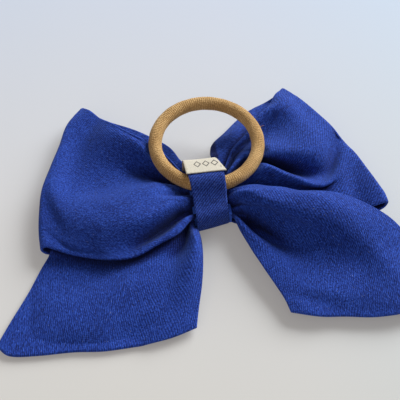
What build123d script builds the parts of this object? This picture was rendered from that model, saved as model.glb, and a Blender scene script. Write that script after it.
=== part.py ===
from build123d import *
import math
import os
import numpy as np

# Fabric hair bow on a round knit hair tie.
#
# Millimetres. Origin: centre of the knot on the plane the front of the bow
# rests on. +Z points out of the back of the bow (the side the hair tie sits
# on), +Y towards the top edges of the loops, +X to the right seen from behind.
#
# The bow is one strip of cloth, sewn as a two-ply tube and turned right side
# out, laid in two loops and two tails, gathered in the middle with thread and
# held by a band of the same cloth that also traps the hair tie.

os.makedirs("parts", exist_ok=True)

# ---------------------------------------------------------------- dimensions
PLY = 0.50                    # thickness of one ply of the cloth
PLY_GAP = 0.30                # air between the two plies of the strip
PLY_NEAR = PLY_GAP / 2        # a ply's two faces, measured from the mid-surface
PLY_FAR = PLY_NEAR + PLY

WRAP_HALF_X = 7.6             # half length of the centre wrap along the bow
WRAP_T = 1.0                  # folded thickness of the centre wrap
WRAP_LOW = -13.0              # lower turn of the centre wrap
WRAP_HIGH = 15.5              # upper turn of the centre wrap
WRAP_CORNER_R = 2.0           # rounding of the wrap's two front corners
ROOT_X = 9.2                  # where the free cloth starts, each side of the knot

LAYER_HALF_X = WRAP_HALF_X    # half length of the gathered layers
LAYER_LOW = -10.5             # lower edge of the gathered layers
LAYER_HIGH = 13.2             # upper edge of the gathered layers
LAYER_Z = {                   # gathered layers: front and back face
    "front": (1.45, 3.05),
    "middle": (3.15, 5.05),
    "back": (5.15, 7.02),
}
PLEATS = 9                    # grooves across each gathered layer
PLEAT_DEPTH = 0.22

THREAD_R = 0.15               # gathering thread radius
THREAD_AIR_Z = 0.03           # thread to the front and back of the layers
THREAD_OFFSET_Y = 0.25        # thread centreline beyond the layer edges
THREAD_BEND_R = 0.3
THREAD_TURNS_X = (-1.6, -0.8, 0.0, 0.8, 1.6)
THREAD_KNOT_R = 0.38
THREAD_KNOT_DROP = 0.55       # knot centre below the thread's lower run
THREAD_KNOT_Z = 4.3
THREAD_END_R = 0.13
THREAD_END_LENGTH = 1.0
THREAD_END_Z = 5.1            # middle of the loose end

TIE_R = 21.2                  # centreline radius of the hair tie
TIE_CORD_R = 2.8              # cord radius of the hair tie
TIE_CORE_R = 1.7              # rubber core radius
TIE_CORE_AIR = 0.05           # air between core and sheath
TIE_TILT = math.radians(6.0)  # rise of the tie's +Y side
TIE_CENTRE = (1.55, 22.6, 13.6)
TIE_JOIN_MIDDLE = 268.0       # where the sheath is joined, degrees round the tie
TIE_JOIN_SPAN = 9.0           # length of the join, degrees
TIE_JOIN_GAP = 0.1            # gap at each end of the join, degrees

TUNNEL_R = 4.15               # passage the wrap leaves for the cord
TUNNEL_INSET = 1.05           # passage axis inside the tie's centreline
TUNNEL_Y = TIE_CENTRE[1] - (TIE_R - TUNNEL_INSET) * math.cos(TIE_TILT)
TUNNEL_Z = TIE_CENTRE[2] - (TIE_R - TUNNEL_INSET) * math.sin(TIE_TILT)

LABEL_HALF_X = 8.6            # half width of the woven label
LABEL_T = 0.45                # folded label thickness
LABEL_LIFT = 0.06             # air under the label

FOLD_R = 2.4                  # reach of a loop's fold in plan
FOLD_STEPS = 12
FOLD_MIN_Z = 1.1              # lowest start of the fold
LOOP_ROWS_FRONT = 14
LOOP_ROWS_BACK = 18
LOOP_DEGREES = (7, 7, 9)      # Bezier degree along the front, fold and back runs
ACROSS_DEGREE = 8             # Bezier degree across the strip

TIE_AIR = 0.45                # air between the tie and the cloth under it
PRESS_REACH = 6.0             # how far from the cord's centreline cloth is pressed
PRESS_SPREAD = 7.0            # larger is a flatter hollow

LEFT_TAIL_SPLIT_Y = -31.0     # line where the left tail leaves the loop
LEFT_TAIL_SPLIT_GAP = 1.0     # cloth left out each side of that line
LEFT_TAIL_SPLIT_Z = 5.6       # height of the level cloth at that line
LEFT_TAIL_LEVEL_REACH = 7.0   # how quickly the levelling fades along y
LEFT_TAIL_CLEAR_Y = -21.5     # the two inner ribs follow the table below this
RIGHT_TAIL_ROOT_X = ROOT_X + 0.3
RIGHT_TAIL_TOP = -2.2         # near the tie the tail's upper rib stays below this
RIGHT_TAIL_TOP_STEP = 0.9     # each next rib's limit is this much lower
RIGHT_TAIL_LIMIT_X = 34       # the limits end at this x

# ---------------------------------------------------- cloth layer mid-surfaces
# Each row is one rib of (x, y, z) points, from the knot outwards.
LEFT_FRONT = [  # left loop, front layer: ribs bottom edge -> top edge, knot -> fold
    [(-8, -12.5, 2.1), (-18, -15.5, 1.6), (-30, -17.5, 1), (-44, -18.5, 0.9), (-57, -18.3, 1.2)],
    [(-8, -10.3, 1.4), (-19, -12, 1), (-31, -12.5, 0.9), (-45, -12, 0.9), (-58, -10.5, 1.2)],
    [(-8, -7.5, 2.6), (-19, -8, 2), (-31, -7, 1.2), (-45, -5, 0.9), (-58.5, -2.5, 1.2)],
    [(-8, -4.3, 1.4), (-19, -3.6, 0.9), (-31, -0.5, 0.9), (-45, 3.5, 0.9), (-58, 7.5, 1.2)],
    [(-8, -0.8, 2.6), (-18.5, 1.2, 2.2), (-30, 5.5, 1.4), (-43.5, 12, 0.9), (-56, 18, 1.2)],
    [(-8, 2.8, 1.4), (-18, 6.2, 0.9), (-29, 12, 0.9), (-41, 20.5, 0.9), (-53, 29, 1.2)],
    [(-8, 6.5, 2.6), (-17, 11.5, 2.4), (-26.5, 19, 1.6), (-37.5, 29, 1), (-48.5, 39.5, 1.2)],
    [(-8, 10, 1.4), (-15.5, 17, 1.2), (-23.5, 26, 1), (-33, 37.5, 0.9), (-43.5, 49, 1.2)],
    [(-8, 13.5, 2.4), (-8.5, 23.9, 3.5), (-12.1, 32, 3.4), (-19.7, 41.3, 2.6), (-32.7, 51.7, 2.2)],
]
LEFT_BACK = [  # left loop, back layer: same ribs, knot -> fold
    [(-8, -12.5, 7), (-9.8, -15, 9.5), (-14.6, -21.9, 11.5), (-22.4, -25.9, 12),
     (-31.2, -29.1, 11), (-42.1, -27.9, 9.5), (-54.2, -23, 7.5), (-68, -16, 4)],
    [(-8, -10.5, 8.6), (-12.1, -14.4, 11), (-17.5, -20.7, 13), (-24.6, -25.1, 13),
     (-31.7, -27.6, 12.5), (-41.9, -26, 11), (-53.9, -20.9, 8.5), (-68.2, -12.4, 4.5)],
    [(-8, -8.5, 6.6), (-12.6, -9.2, 8.5), (-18.8, -14.3, 9.5), (-25.2, -19.6, 11),
     (-32.1, -23.7, 12.5), (-41.5, -23.2, 13), (-54.4, -17.6, 10), (-68.2, -7.8, 5)],
    [(-8, -5.5, 8), (-14.1, -8.4, 11.5), (-21.3, -13.5, 14.5), (-28.6, -17.6, 16),
     (-37.1, -18.3, 16.5), (-46.5, -14.9, 14.5), (-57.3, -8.7, 10.5), (-67.8, 1.5, 5.5)],
    [(-8, -1.5, 8.8), (-14.8, -5.1, 12), (-21.4, -7.8, 15), (-28.4, -8, 17),
     (-37.6, -7.5, 18), (-47.5, -3.4, 16), (-58.5, 5, 11), (-66.7, 12.1, 6)],
    [(-8, 2, 7.2), (-15, 0.2, 9.5), (-20.8, 1.5, 12), (-27.5, 1.7, 14),
     (-36.2, 1.2, 16), (-46.1, 6.7, 15), (-56.4, 15.3, 10.5), (-64.3, 22.7, 6)],
    [(-8, 5.5, 6.2), (-15.1, 6.6, 7.6), (-20.3, 10.8, 8.6), (-25.7, 13.6, 10),
     (-34.3, 16.3, 12), (-43.3, 20, 13), (-52.5, 26.4, 10.5), (-60.5, 33.5, 6)],
    [(-8, 9, 6.6), (-14.4, 12.7, 8), (-19, 18.4, 9.2), (-24.3, 23.3, 10.2),
     (-32.5, 27.9, 12), (-40.4, 32.5, 12), (-48.6, 38.3, 9.5), (-55.7, 44.5, 6)],
    [(-8, 12.5, 7), (-12.8, 18.5, 8.2), (-17.1, 24, 9.6), (-22.4, 29, 10.6),
     (-30.1, 36.2, 11.2), (-37.2, 43, 10.4), (-43.6, 50.8, 8), (-49.4, 59, 5)],
]
RIGHT_FRONT = [  # right loop, front layer: bottom edge -> top edge, knot -> fold
    [(8, -12.5, 2.1), (20, -14.5, 1.6), (33, -16, 1), (47, -16.8, 0.9), (60, -16, 1.2)],
    [(8, -10.3, 1.4), (20, -11.3, 1), (33, -11.6, 0.9), (47, -10.6, 0.9), (60, -9, 1.2)],
    [(8, -7.5, 2.6), (20, -7.4, 2), (33, -6.2, 1.2), (46.5, -3.6, 0.9), (59, -0.5, 1.2)],
    [(8, -4.6, 1.4), (19.5, -3.2, 0.9), (32, -0.2, 0.9), (45.5, 4, 0.9), (58, 8, 1.2)],
    [(8, -1.8, 2.6), (19, 1, 2.2), (31, 5.5, 1.4), (43.5, 11.5, 0.9), (56, 16.5, 1.2)],
    [(8, 1.2, 1.4), (18.5, 5.2, 0.9), (29.5, 11.5, 0.9), (41, 19.5, 0.9), (53, 25.5, 1.2)],
    [(8, 4.3, 2.6), (17.5, 9.6, 2.4), (27.5, 17.5, 1.6), (38.5, 27, 1), (49.5, 34, 1.2)],
    [(8, 7.5, 1.6), (16.5, 14.5, 1.6), (25.5, 24, 1.2), (35.5, 34.5, 1), (45.5, 42, 1.2)],
    [(8, 10.5, 2.8), (10.8, 24.7, 4.6), (18, 32.4, 5.4), (27.3, 44.7, 2.6), (37.8, 53.1, 1.6)],
    [(8, 14, 3), (5, 28.7, 4.4), (10.5, 36.6, 5.2), (21.9, 49.9, 2.6), (32.9, 56.1, 2.4)],
]
RIGHT_BACK = [  # right loop, back layer: same ribs, knot -> fold
    [(8, -12, 4.6), (20, -12, 4.8), (32, -12, 5.6),
     (45, -12.5, 6.6), (56, -13.5, 7), (70.6, -12.3, 5)],
    [(8, -8, 4.2), (20, -7, 4.8), (32, -6.6, 5.8), (45, -6, 7.2), (56, -5, 7.6), (69.9, -8.3, 5.5)],
    [(8, -4, 4.8), (20, -2.5, 5.4), (32, -2, 6.6), (45, 0, 8.4), (56, 2, 8.6), (68.2, -2, 6)],
    [(8, -1, 4.2), (18.2, 8.5, 6.4), (26.4, 3.7, 7.4),
     (38.8, -1.8, 9.2), (52.9, -2.7, 9.8), (66.2, 5.3, 6.2)],
    [(8, 2.5, 5.6), (17.7, 11.2, 8.4), (24.8, 9, 9.4),
     (35.5, 2.5, 10.4), (50.3, 4.3, 11), (63.7, 12.7, 6.5)],
    [(8, 5.5, 4.4), (18.2, 15.8, 6.4), (24.4, 15.5, 7.6),
     (34.2, 12.6, 9.2), (47.8, 11.9, 11), (60.8, 20.3, 6.8)],
    [(8, 8.5, 5.8), (17.1, 17.1, 8.2), (23.2, 18.6, 9.6),
     (32.4, 18.8, 11.4), (44.2, 19.6, 13), (57.2, 28.9, 7)],
    [(8, 10.8, 4.8), (15.4, 19.8, 7.4), (21.5, 23.5, 9.2),
     (30, 26.6, 11.4), (41.2, 29.4, 13), (52.8, 36.7, 7)],
    [(8, 12.6, 5), (13.6, 21.5, 7), (21.4, 30, 8.6),
     (29.3, 38.5, 10.4), (37.4, 40.6, 12), (47.5, 47.2, 6.6)],
    [(8, 13.6, 5), (13.4, 22.9, 6.8), (20.7, 31, 8.2),
     (28.2, 39.2, 9.8), (34.6, 47.6, 9.2), (40.8, 58.2, 5.5)],
]
LEFT_TAIL = [  # left tail: ribs inner edge -> outer edge, knot -> cut end
    [(-8, -11.5, 5), (-5.4, -14.7, 6.5), (-5.7, -23.5, 7.5), (-6.8, -32.7, 7),
     (-8.7, -41.8, 5), (-10.9, -50.7, 3.2), (-13.1, -58.9, 2)],
    [(-8, -9.5, 5.8), (-8.2, -17.6, 8), (-9.4, -26.3, 9.2), (-12.2, -35.5, 8.6),
     (-15.3, -44.6, 6.4), (-18.6, -52.8, 4), (-22.6, -60.5, 1.8)],
    [(-8, -7.3, 4.2), (-11, -14.8, 5), (-14, -22.8, 5.6), (-18.4, -33.1, 6),
     (-23.5, -43.6, 5.4), (-28.7, -53.2, 4), (-33.5, -62.7, 1.6)],
    [(-8, -5, 4.9), (-14.8, -13.6, 4.8), (-20.5, -21.6, 5.2), (-27.5, -32.2, 5.8),
     (-34, -43.7, 5.6), (-40.2, -53.9, 4.2), (-46, -63.4, 1.4)],
    [(-8, -2, 4.2), (-21, -9.5, 4.2), (-33, -17, 4.2), (-36.9, -30, 5.2),
     (-45.1, -43.3, 6), (-52, -54.7, 4.6), (-58.6, -63, 1.3)],
    [(-8, 1.5, 4.9), (-24, -3.5, 4.2), (-40, -11, 3.8), (-46.9, -24.9, 4.2),
     (-56.2, -40.1, 5), (-63.9, -52, 4.4), (-70.8, -62.3, 1.2)],
    [(-8, 5, 4.2), (-28, 0.5, 4), (-46, -6, 3.6), (-56.6, -19.4, 3.8),
     (-65.8, -34.1, 3.6), (-73.7, -46.2, 3), (-80.8, -60.9, 1.2)],
    [(-8, 8.5, 4.6), (-31, 5, 3.9), (-51, -2, 3.5), (-64.6, -16.5, 3.4),
     (-73.4, -33.3, 2.6), (-80.8, -46.3, 2), (-85.4, -54.8, 1.4)],
]
LEFT_TAIL_STARTS = [  # new starts of the two inner ribs, below the wrap
    [(-ROOT_X, -13.0, 5.0), (-9.0, -17.0, 5.2)],
    [(-ROOT_X, -11.1, 5.0), (-10.0, -15.6, 5.2)],
]
RIGHT_TAIL = [  # right tail: ribs inner edge -> outer edge, knot -> cut end
    [(8, -12.5, 7), (9.5, -16, 7.6), (11.8, -23.2, 7.8), (14.4, -31, 7.2),
     (16.6, -38.2, 6.2), (18.8, -45.2, 5), (20.8, -51.2, 4), (22.7, -57.1, 3)],
    [(8, -10.8, 8.2), (10.8, -15.2, 8.6), (14.4, -21.9, 8.2), (18.8, -28.5, 7),
     (22.3, -37, 6), (25.7, -45.2, 5), (28.8, -52.9, 4.2), (31.9, -60.2, 3)],
    [(8, -8.8, 6), (12, -10.5, 6.4), (17, -16.6, 6.2), (22.8, -24.2, 5.8),
     (27.8, -33, 5.4), (32.7, -43.1, 5.2), (36.7, -53.1, 4.8), (41.5, -62.5, 3.2)],
    [(8, -6.6, 6.8), (13, -9.2, 8.2), (19.1, -13.8, 7.4), (27, -20.6, 6.8),
     (34.5, -28.9, 6.6), (41.1, -39.8, 6.2), (46.4, -52.2, 5.6), (51.8, -63.7, 3.4)],
    [(8, -4.2, 8.6), (13.4, -8.8, 11), (20.7, -12.4, 11), (30.7, -18.6, 10.6),
     (40.3, -26.1, 10.2), (48.9, -37, 8.8), (55.7, -51.3, 7), (62, -63.9, 3.6)],
    [(8, -1.8, 9), (14.1, -6.6, 12), (22.5, -10.7, 13.6), (33.9, -17.1, 15),
     (44.6, -24.1, 15), (55.2, -33.6, 12), (64.1, -48.1, 8), (71.5, -62.6, 3.6)],
    [(8, 0, 8.4), (15.2, -2.7, 11), (24, -7.2, 13.6), (36.7, -14.4, 16.8),
     (47.9, -20.7, 17), (59.6, -29.6, 13.6), (70.3, -45.2, 8.6), (79.7, -59.6, 3.6)],
    [(8, 1.4, 7.2), (16.5, 1.9, 8.6), (25.8, -2.3, 11), (39.7, -8.7, 14.6),
     (52.2, -13.5, 15.4), (64.9, -21.8, 13), (76.4, -37.4, 8.6), (85.9, -56.2, 3.4)],
]


def save(shape, name):
    export_step(shape, f"parts/{name}.step")


# ------------------------------------------------------------ curves and grids
# A grid is an array [row along the strip, rib across it, xyz].
def path_length(points):
    """Running length at each point of a polyline."""
    return np.r_[0, np.cumsum(np.linalg.norm(np.diff(points, axis=0), axis=1))]


def blend(start, end, t_start, t_end, t):
    span = t_end - t_start
    return (t_end - t) / span * start + (t - t_start) / span * end


def spaced(points, count):
    """Centripetal Catmull-Rom curve through points, resampled at even spacing."""
    p = np.array(points, float)
    padded = np.vstack([2 * p[0] - p[1], p, 2 * p[-1] - p[-2]])
    fine = []
    for i in range(1, len(padded) - 2):
        p0, p1, p2, p3 = quad = padded[i - 1:i + 3]
        steps = np.linalg.norm(np.diff(quad, axis=0), axis=1) ** 0.5
        t0, t1, t2, t3 = np.r_[0, np.cumsum(steps)]
        for t in np.linspace(t1, t2, 24, endpoint=False):
            a1 = blend(p0, p1, t0, t1, t)
            a2 = blend(p1, p2, t1, t2, t)
            a3 = blend(p2, p3, t2, t3, t)
            b1 = blend(a1, a2, t0, t2, t)
            b2 = blend(a2, a3, t1, t3, t)
            fine.append(blend(b1, b2, t1, t2, t))
    fine.append(padded[-2])
    fine = np.array(fine)
    length = path_length(fine)
    even = np.linspace(0, length[-1], count)
    return np.stack([np.interp(even, length, fine[:, k]) for k in range(3)], 1)


def thin(points, step):
    """Every step-th point of a run, both ends kept."""
    if (len(points) - 1) % step == 0:
        return points[::step]
    return np.vstack([points[::step], points[-1]])


def smooth_across(grid, passes):
    """Ease the height of the pleats between neighbouring ribs, edges kept."""
    out = grid.copy()
    for _ in range(passes):
        out[:, 1:-1, 2] = (0.25 * out[:, :-2, 2] + 0.5 * out[:, 1:-1, 2]
                           + 0.25 * out[:, 2:, 2])
    return out


def widen(grid, count):
    """Resample across the ribs."""
    return np.stack([spaced(row, count) for row in grid])


def root_cut(rib, root_x):
    """Start a rib on the plane x = root_x (it was laid out from the knot)."""
    side = 1 if root_x > 0 else -1
    points = spaced(rib, 120)
    i = int(np.argmax(points[:, 0] * side >= root_x * side))
    before, after = points[i - 1], points[i]
    t = (root_x - before[0]) / (after[0] - before[0])
    return np.vstack([before + t * (after - before), points[i:]])


def unit(vectors):
    return vectors / np.linalg.norm(vectors, axis=-1, keepdims=True)


# ----------------------------------------------------------------- loop plies
def under_tie(grid):
    """Press the back of a loop down where the hair tie lies on it."""
    out = grid.copy()
    from_centre_y = grid[..., 1] - TIE_CENTRE[1]
    cord_z = TIE_CENTRE[2] + from_centre_y * math.tan(TIE_TILT)
    radius = np.hypot(grid[..., 0] - TIE_CENTRE[0], from_centre_y / math.cos(TIE_TILT))
    off_cord = np.abs(radius - TIE_R)
    clearance = TIE_CORD_R + PLY_FAR + TIE_AIR
    limit = np.where(off_cord < PRESS_REACH,
                     cord_z - clearance + off_cord ** 2 / PRESS_SPREAD, 99.0)
    out[..., 2] = np.minimum(grid[..., 2], limit)
    return out


def fold_arc(front, back):
    """Half turn joining a front rib to its back rib."""
    fold = back[-1]
    inward = front[-1] - fold
    inward[2] = 0
    inward /= np.linalg.norm(inward)
    low_z = max(fold[2] - FOLD_R, FOLD_MIN_Z)
    high_z = fold[2] + min(FOLD_R, 0.9 * (back[-2][2] - fold[2]) + 0.9)
    centre = fold + inward * FOLD_R
    arc = []
    for k in range(FOLD_STEPS + 1):
        angle = math.pi * k / FOLD_STEPS
        rise = fold[2] - low_z if k <= FOLD_STEPS // 2 else high_z - fold[2]
        point = centre - inward * FOLD_R * math.sin(angle)
        point[2] = fold[2] - rise * math.cos(angle)
        arc.append(point)
    return np.array(arc)


def loop_grid(front_ribs, back_ribs, root_x):
    """Mid-surface of one loop, and the rows that bound its front, fold and back."""
    ribs = []
    for front, back in zip(front_ribs, back_ribs):
        front, back = np.array(front, float), np.array(back, float)
        arc = fold_arc(front, back)
        front_part = root_cut(np.vstack([front, arc[0]]), root_x)
        back_part = root_cut(np.vstack([back[:-1], arc[-1]]), root_x)
        ribs.append(np.vstack([
            spaced(thin(front_part, 6), LOOP_ROWS_FRONT),
            arc[1:-1],
            spaced(thin(back_part, 6), LOOP_ROWS_BACK)[::-1],
        ]))
    fold_start = LOOP_ROWS_FRONT - 1
    fold_end = fold_start + FOLD_STEPS
    return np.stack(ribs, 1), [0, fold_start, fold_end, fold_end + LOOP_ROWS_BACK - 1]


def loop_normals(grid):
    along = np.empty_like(grid)
    for j in range(grid.shape[1]):
        along[:, j] = np.gradient(grid[:, j], path_length(grid[:, j]), axis=0)
    normals = unit(np.cross(along, np.gradient(grid, axis=1)))
    # the root faces stay on the plane where the free cloth starts
    normals[[0, -1], :, 0] = 0
    return unit(normals)


def bernstein(t, degree):
    return np.stack([math.comb(degree, k) * t ** k * (1 - t) ** (degree - k)
                     for k in range(degree + 1)], 1)


def mean_chord(grid):
    """Chord parameter 0..1 of the rows, averaged over the ribs."""
    steps = np.linalg.norm(np.diff(grid, axis=0), axis=-1).mean(1)
    length = np.r_[0, np.cumsum(steps)]
    return length / length[-1]


def fit_controls(samples, basis):
    """Least-squares Bezier controls with both end samples kept."""
    flat = samples.reshape(len(samples), -1)
    ends = basis[:, :1] * flat[0] + basis[:, -1:] * flat[-1]
    middle = np.linalg.lstsq(basis[:, 1:-1], flat - ends, rcond=None)[0]
    return np.vstack([flat[0], middle, flat[-1]]).reshape(-1, *samples.shape[1:])


def control_nets(grid, cuts):
    """Control nets, one per run, sharing their border rows."""
    across = bernstein(mean_chord(np.swapaxes(grid, 0, 1)), ACROSS_DEGREE)
    rows = np.stack([fit_controls(row, across) for row in grid])
    nets = []
    for first, last, degree in zip(cuts[:-1], cuts[1:], LOOP_DEGREES):
        along = bernstein(mean_chord(grid[first:last + 1]), degree)
        nets.append(fit_controls(rows[first:last + 1], along))
    return nets


def bezier(net):
    return Face.make_bezier_surface([[Vector(*map(float, p)) for p in row] for row in net])


def closed_solid(faces):
    """Solid inside the faces, turned outward if it came out inside out."""
    solid = Solid(Shell(faces))
    if solid.volume < 0:
        solid = Solid(solid.wrapped.Reversed())
    return solid


def loop_ply(grid, cuts, low, high):
    """One ply of a loop between two offsets of its mid-surface."""
    normals = loop_normals(grid)
    top = control_nets(grid + normals * high, cuts)
    bottom = control_nets(grid + normals * low, cuts)
    faces = [bezier(net) for net in top + bottom]
    for t, b in zip(top, bottom):
        faces.append(bezier(np.stack([t[:, 0], b[:, 0]])))
        faces.append(bezier(np.stack([t[:, -1], b[:, -1]])))
    faces.append(bezier(np.stack([top[0][0], bottom[0][0]])))
    faces.append(bezier(np.stack([top[-1][-1], bottom[-1][-1]])))
    return closed_solid(faces)


def save_loop(side, front_ribs, back_ribs, root_x):
    grid, cuts = loop_grid(front_ribs, back_ribs, root_x)
    grid = under_tie(widen(smooth_across(grid, 3), 15))
    pair = [loop_ply(grid, cuts, PLY_NEAR, PLY_FAR),
            loop_ply(grid, cuts, -PLY_FAR, -PLY_NEAR)]
    # the outer ply of a loop is the one that reaches furthest
    inner, outer = sorted(pair, key=lambda ply: ply.bounding_box().size.X)
    save(outer, f"{side}_loop_outer_ply")
    save(inner, f"{side}_loop_inner_ply")


save_loop("left", LEFT_FRONT, LEFT_BACK, -ROOT_X)
save_loop("right", RIGHT_FRONT, RIGHT_BACK, ROOT_X)


# ----------------------------------------------------------------- tail plies
def face_through(grid):
    points = [[Vector(*map(float, p)) for p in row] for row in grid]
    return Face.make_surface_from_array_of_points(points, tol=0.03, min_deg=3, max_deg=5)


def sheet(grid, low, high):
    """A closed cloth ply between two offsets of a mid-surface."""
    normals = unit(np.cross(np.gradient(grid, axis=0), np.gradient(grid, axis=1)))
    top = face_through(grid + normals * high)
    bottom = face_through(grid + normals * low)
    faces = [top, bottom]
    bottom_edges = list(bottom.edges())
    for edge in top.edges():
        middle = edge.position_at(0.5)
        nearest = min(range(len(bottom_edges)),
                      key=lambda i: (bottom_edges[i].position_at(0.5) - middle).length)
        mate = bottom_edges.pop(nearest)
        start = edge.position_at(0)
        if (start - mate.position_at(0)).length > (start - mate.position_at(1)).length:
            mate = Edge(mate.wrapped.Reversed())
        faces.append(Face.make_surface_from_curves(edge, mate))
    return closed_solid(faces)


def save_tail(grid, name):
    pair = [sheet(grid, PLY_NEAR, PLY_FAR), sheet(grid, -PLY_FAR, -PLY_NEAR)]
    front, back = sorted(pair, key=lambda ply: ply.center().Z)
    save(back, f"{name}_back_ply")
    save(front, f"{name}_front_ply")


def left_tail_line(i, rib):
    """One rib of the left tail from its root, level near the split line."""
    points = spaced(rib, 300)
    level = np.exp(-((points[:, 1] - LEFT_TAIL_SPLIT_Y) / LEFT_TAIL_LEVEL_REACH) ** 2)
    points[:, 2] = points[:, 2] * (1 - level) + LEFT_TAIL_SPLIT_Z * level
    if i < len(LEFT_TAIL_STARTS):
        # the inner edge comes out below the wrap
        free = thin(points[points[:, 1] <= LEFT_TAIL_CLEAR_Y], 10)
        return spaced(np.vstack([LEFT_TAIL_STARTS[i], free]), 400)
    return spaced(thin(points[points[:, 0] <= -ROOT_X], 8), 400)


def save_left_tail():
    root_ribs, end_ribs = [], []
    for i, rib in enumerate(LEFT_TAIL):
        line = left_tail_line(i, rib)
        y = line[:, 1]
        root_last = int(np.argmax(y <= LEFT_TAIL_SPLIT_Y + LEFT_TAIL_SPLIT_GAP))
        end_first = int(np.argmax(y <= LEFT_TAIL_SPLIT_Y - LEFT_TAIL_SPLIT_GAP))
        root_ribs.append(spaced(thin(line[:root_last + 1], 5), 11))
        end_ribs.append(spaced(thin(line[end_first:], 5), 11))
    save_tail(widen(smooth_across(np.stack(root_ribs, 1), 4), 11), "left_tail_root")
    save_tail(widen(smooth_across(np.stack(end_ribs, 1), 3), 11), "left_tail_end")


def save_right_tail():
    ribs = []
    for i, rib in enumerate(RIGHT_TAIL):
        points = root_cut(rib, RIGHT_TAIL_ROOT_X)
        # keep the upper edge clear of the hair tie
        limit = RIGHT_TAIL_TOP - RIGHT_TAIL_TOP_STEP * (len(RIGHT_TAIL) - 1 - i)
        near = points[:, 0] < RIGHT_TAIL_LIMIT_X
        points[near, 1] = np.minimum(points[near, 1], limit)
        ribs.append(spaced(thin(points, 9), 15))
    save_tail(widen(smooth_across(np.stack(ribs, 1), 4), 13), "right_tail")


save_left_tail()
save_right_tail()


# ------------------------------------------------------------ gathered layers
def pleated_layer(front_z, back_z):
    """One gathered length of strip: a block with pleat grooves on its back."""
    front, back = [], []
    for k in range(4 * PLEATS + 1):
        y = LAYER_LOW + (LAYER_HIGH - LAYER_LOW) * k / (4 * PLEATS)
        groove = PLEAT_DEPTH * 0.5 * (1 - math.cos(math.pi * k / 2))
        front.append((y, front_z))
        back.append((y, back_z - groove))
    with BuildPart() as part:
        with BuildSketch(Plane.YZ.offset(-LAYER_HALF_X)):
            with BuildLine():
                Polyline(*front, *back[::-1], close=True)
            make_face()
        extrude(amount=2 * LAYER_HALF_X)
    return part.part.solids()[0]


for layer, (front_z, back_z) in LAYER_Z.items():
    save(pleated_layer(front_z, back_z), f"knot_{layer}_layer")

# ----------------------------------------------------------- gathering thread
TURN_LOW = LAYER_LOW - THREAD_OFFSET_Y
TURN_HIGH = LAYER_HIGH + THREAD_OFFSET_Y
TURN_FRONT = LAYER_Z["front"][0] - THREAD_AIR_Z - THREAD_R
TURN_BACK = LAYER_Z["back"][1] + THREAD_AIR_Z + THREAD_R


def thread_turn(x):
    """One closed turn of thread round the gathered layers."""
    with BuildPart() as part:
        with BuildLine() as path:
            Polyline((x, TURN_LOW, TURN_FRONT), (x, TURN_HIGH, TURN_FRONT),
                     (x, TURN_HIGH, TURN_BACK), (x, TURN_LOW, TURN_BACK), close=True)
            fillet(path.vertices(), THREAD_BEND_R)
        with BuildSketch(Plane(origin=(x, 0, TURN_FRONT), z_dir=(0, 1, 0))):
            Circle(THREAD_R)
        sweep(path=path.wires()[0])
    return part.part.solids()[0]


save(Compound([thread_turn(x) for x in THREAD_TURNS_X]), "gathering_thread")

# the thread's knot and loose end, on the lower side of the layers
knot_y = TURN_LOW - THREAD_KNOT_DROP
knot_ball = Pos(0.0, knot_y, THREAD_KNOT_Z) * Sphere(THREAD_KNOT_R)
loose_end = Pos(0.0, knot_y, THREAD_END_Z) * Cylinder(THREAD_END_R, THREAD_END_LENGTH)
save(Solid(knot_ball.fuse(loose_end).solids()[0].wrapped), "gathering_thread_knot")


# ---------------------------------------------------------------- centre wrap
def band_profile(grow):
    """Outline of the wrap across the bow, as (y, z), grown outwards."""
    low, high = WRAP_LOW - grow, WRAP_HIGH + grow
    front = -grow
    corner = WRAP_CORNER_R
    high_side_z, low_side_z = 9.6, 6.7   # where the straight sides end
    hump = TUNNEL_R + WRAP_T + grow      # radius over the cord
    low_angle, high_angle = math.radians(25), math.radians(72)
    low_end = (TUNNEL_Y - hump * math.cos(low_angle), TUNNEL_Z + hump * math.sin(low_angle))
    high_end = (TUNNEL_Y + hump * math.cos(high_angle), TUNNEL_Z + hump * math.sin(high_angle))
    with BuildSketch() as profile:
        with BuildLine():
            Line((low + corner, front), (high - corner, front))
            RadiusArc((high - corner, front), (high, front + corner), -corner)
            Line((high, front + corner), (high, high_side_z))
            Spline((high, high_side_z), (14.5 + grow * 0.7, 12.7 + grow * 0.7),
                   (10.6 + grow * 0.2, 14.5 + grow), high_end,
                   tangents=((0, 1), (-math.sin(high_angle), math.cos(high_angle))))
            ThreePointArc(high_end, (TUNNEL_Y, TUNNEL_Z + hump), low_end)
            Spline(low_end, (-4.6 - grow * 0.4, 11.2 + grow * 0.9), (-7.8, 9.9 + grow),
                   (-11.1 - grow * 0.6, 9.1 + grow * 0.8), (low, low_side_z),
                   tangents=((-math.sin(low_angle), -math.cos(low_angle)), (0, -1)))
            Line((low, low_side_z), (low, front + corner))
            RadiusArc((low, front + corner), (low + corner, front), -corner)
        make_face()
    return profile.sketch


def extrude_yz(sketch, half_x):
    """A (y, z) outline made into solids along x."""
    return [Solid.extrude(Plane.YZ.offset(-half_x) * face, Vector(2 * half_x, 0, 0))
            for face in sketch.faces()]


def largest(solids):
    return max(solids, key=lambda solid: solid.volume)


# closed band round the gathered layers and the tie; the tunnel takes a little
# from the walls either side of the cord
band = band_profile(0.0) - band_profile(-WRAP_T)
band = band - Pos(TUNNEL_Y, TUNNEL_Z) * Circle(TUNNEL_R)
save(largest(extrude_yz(band, WRAP_HALF_X)), "centre_wrap")

# ------------------------------------------------------------------- glue pad
# hot-melt pad that holds the wrap's inner end down on the gathered strip
PAD_OUTLINE = [(-9.6, 7.40), (-2.6, 7.40), (-3.4, 8.2), (-9.6, 7.85)]  # (y, z)
PAD_HALF_X = 5.0
PAD_TUNNEL_AIR = 0.1

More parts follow.
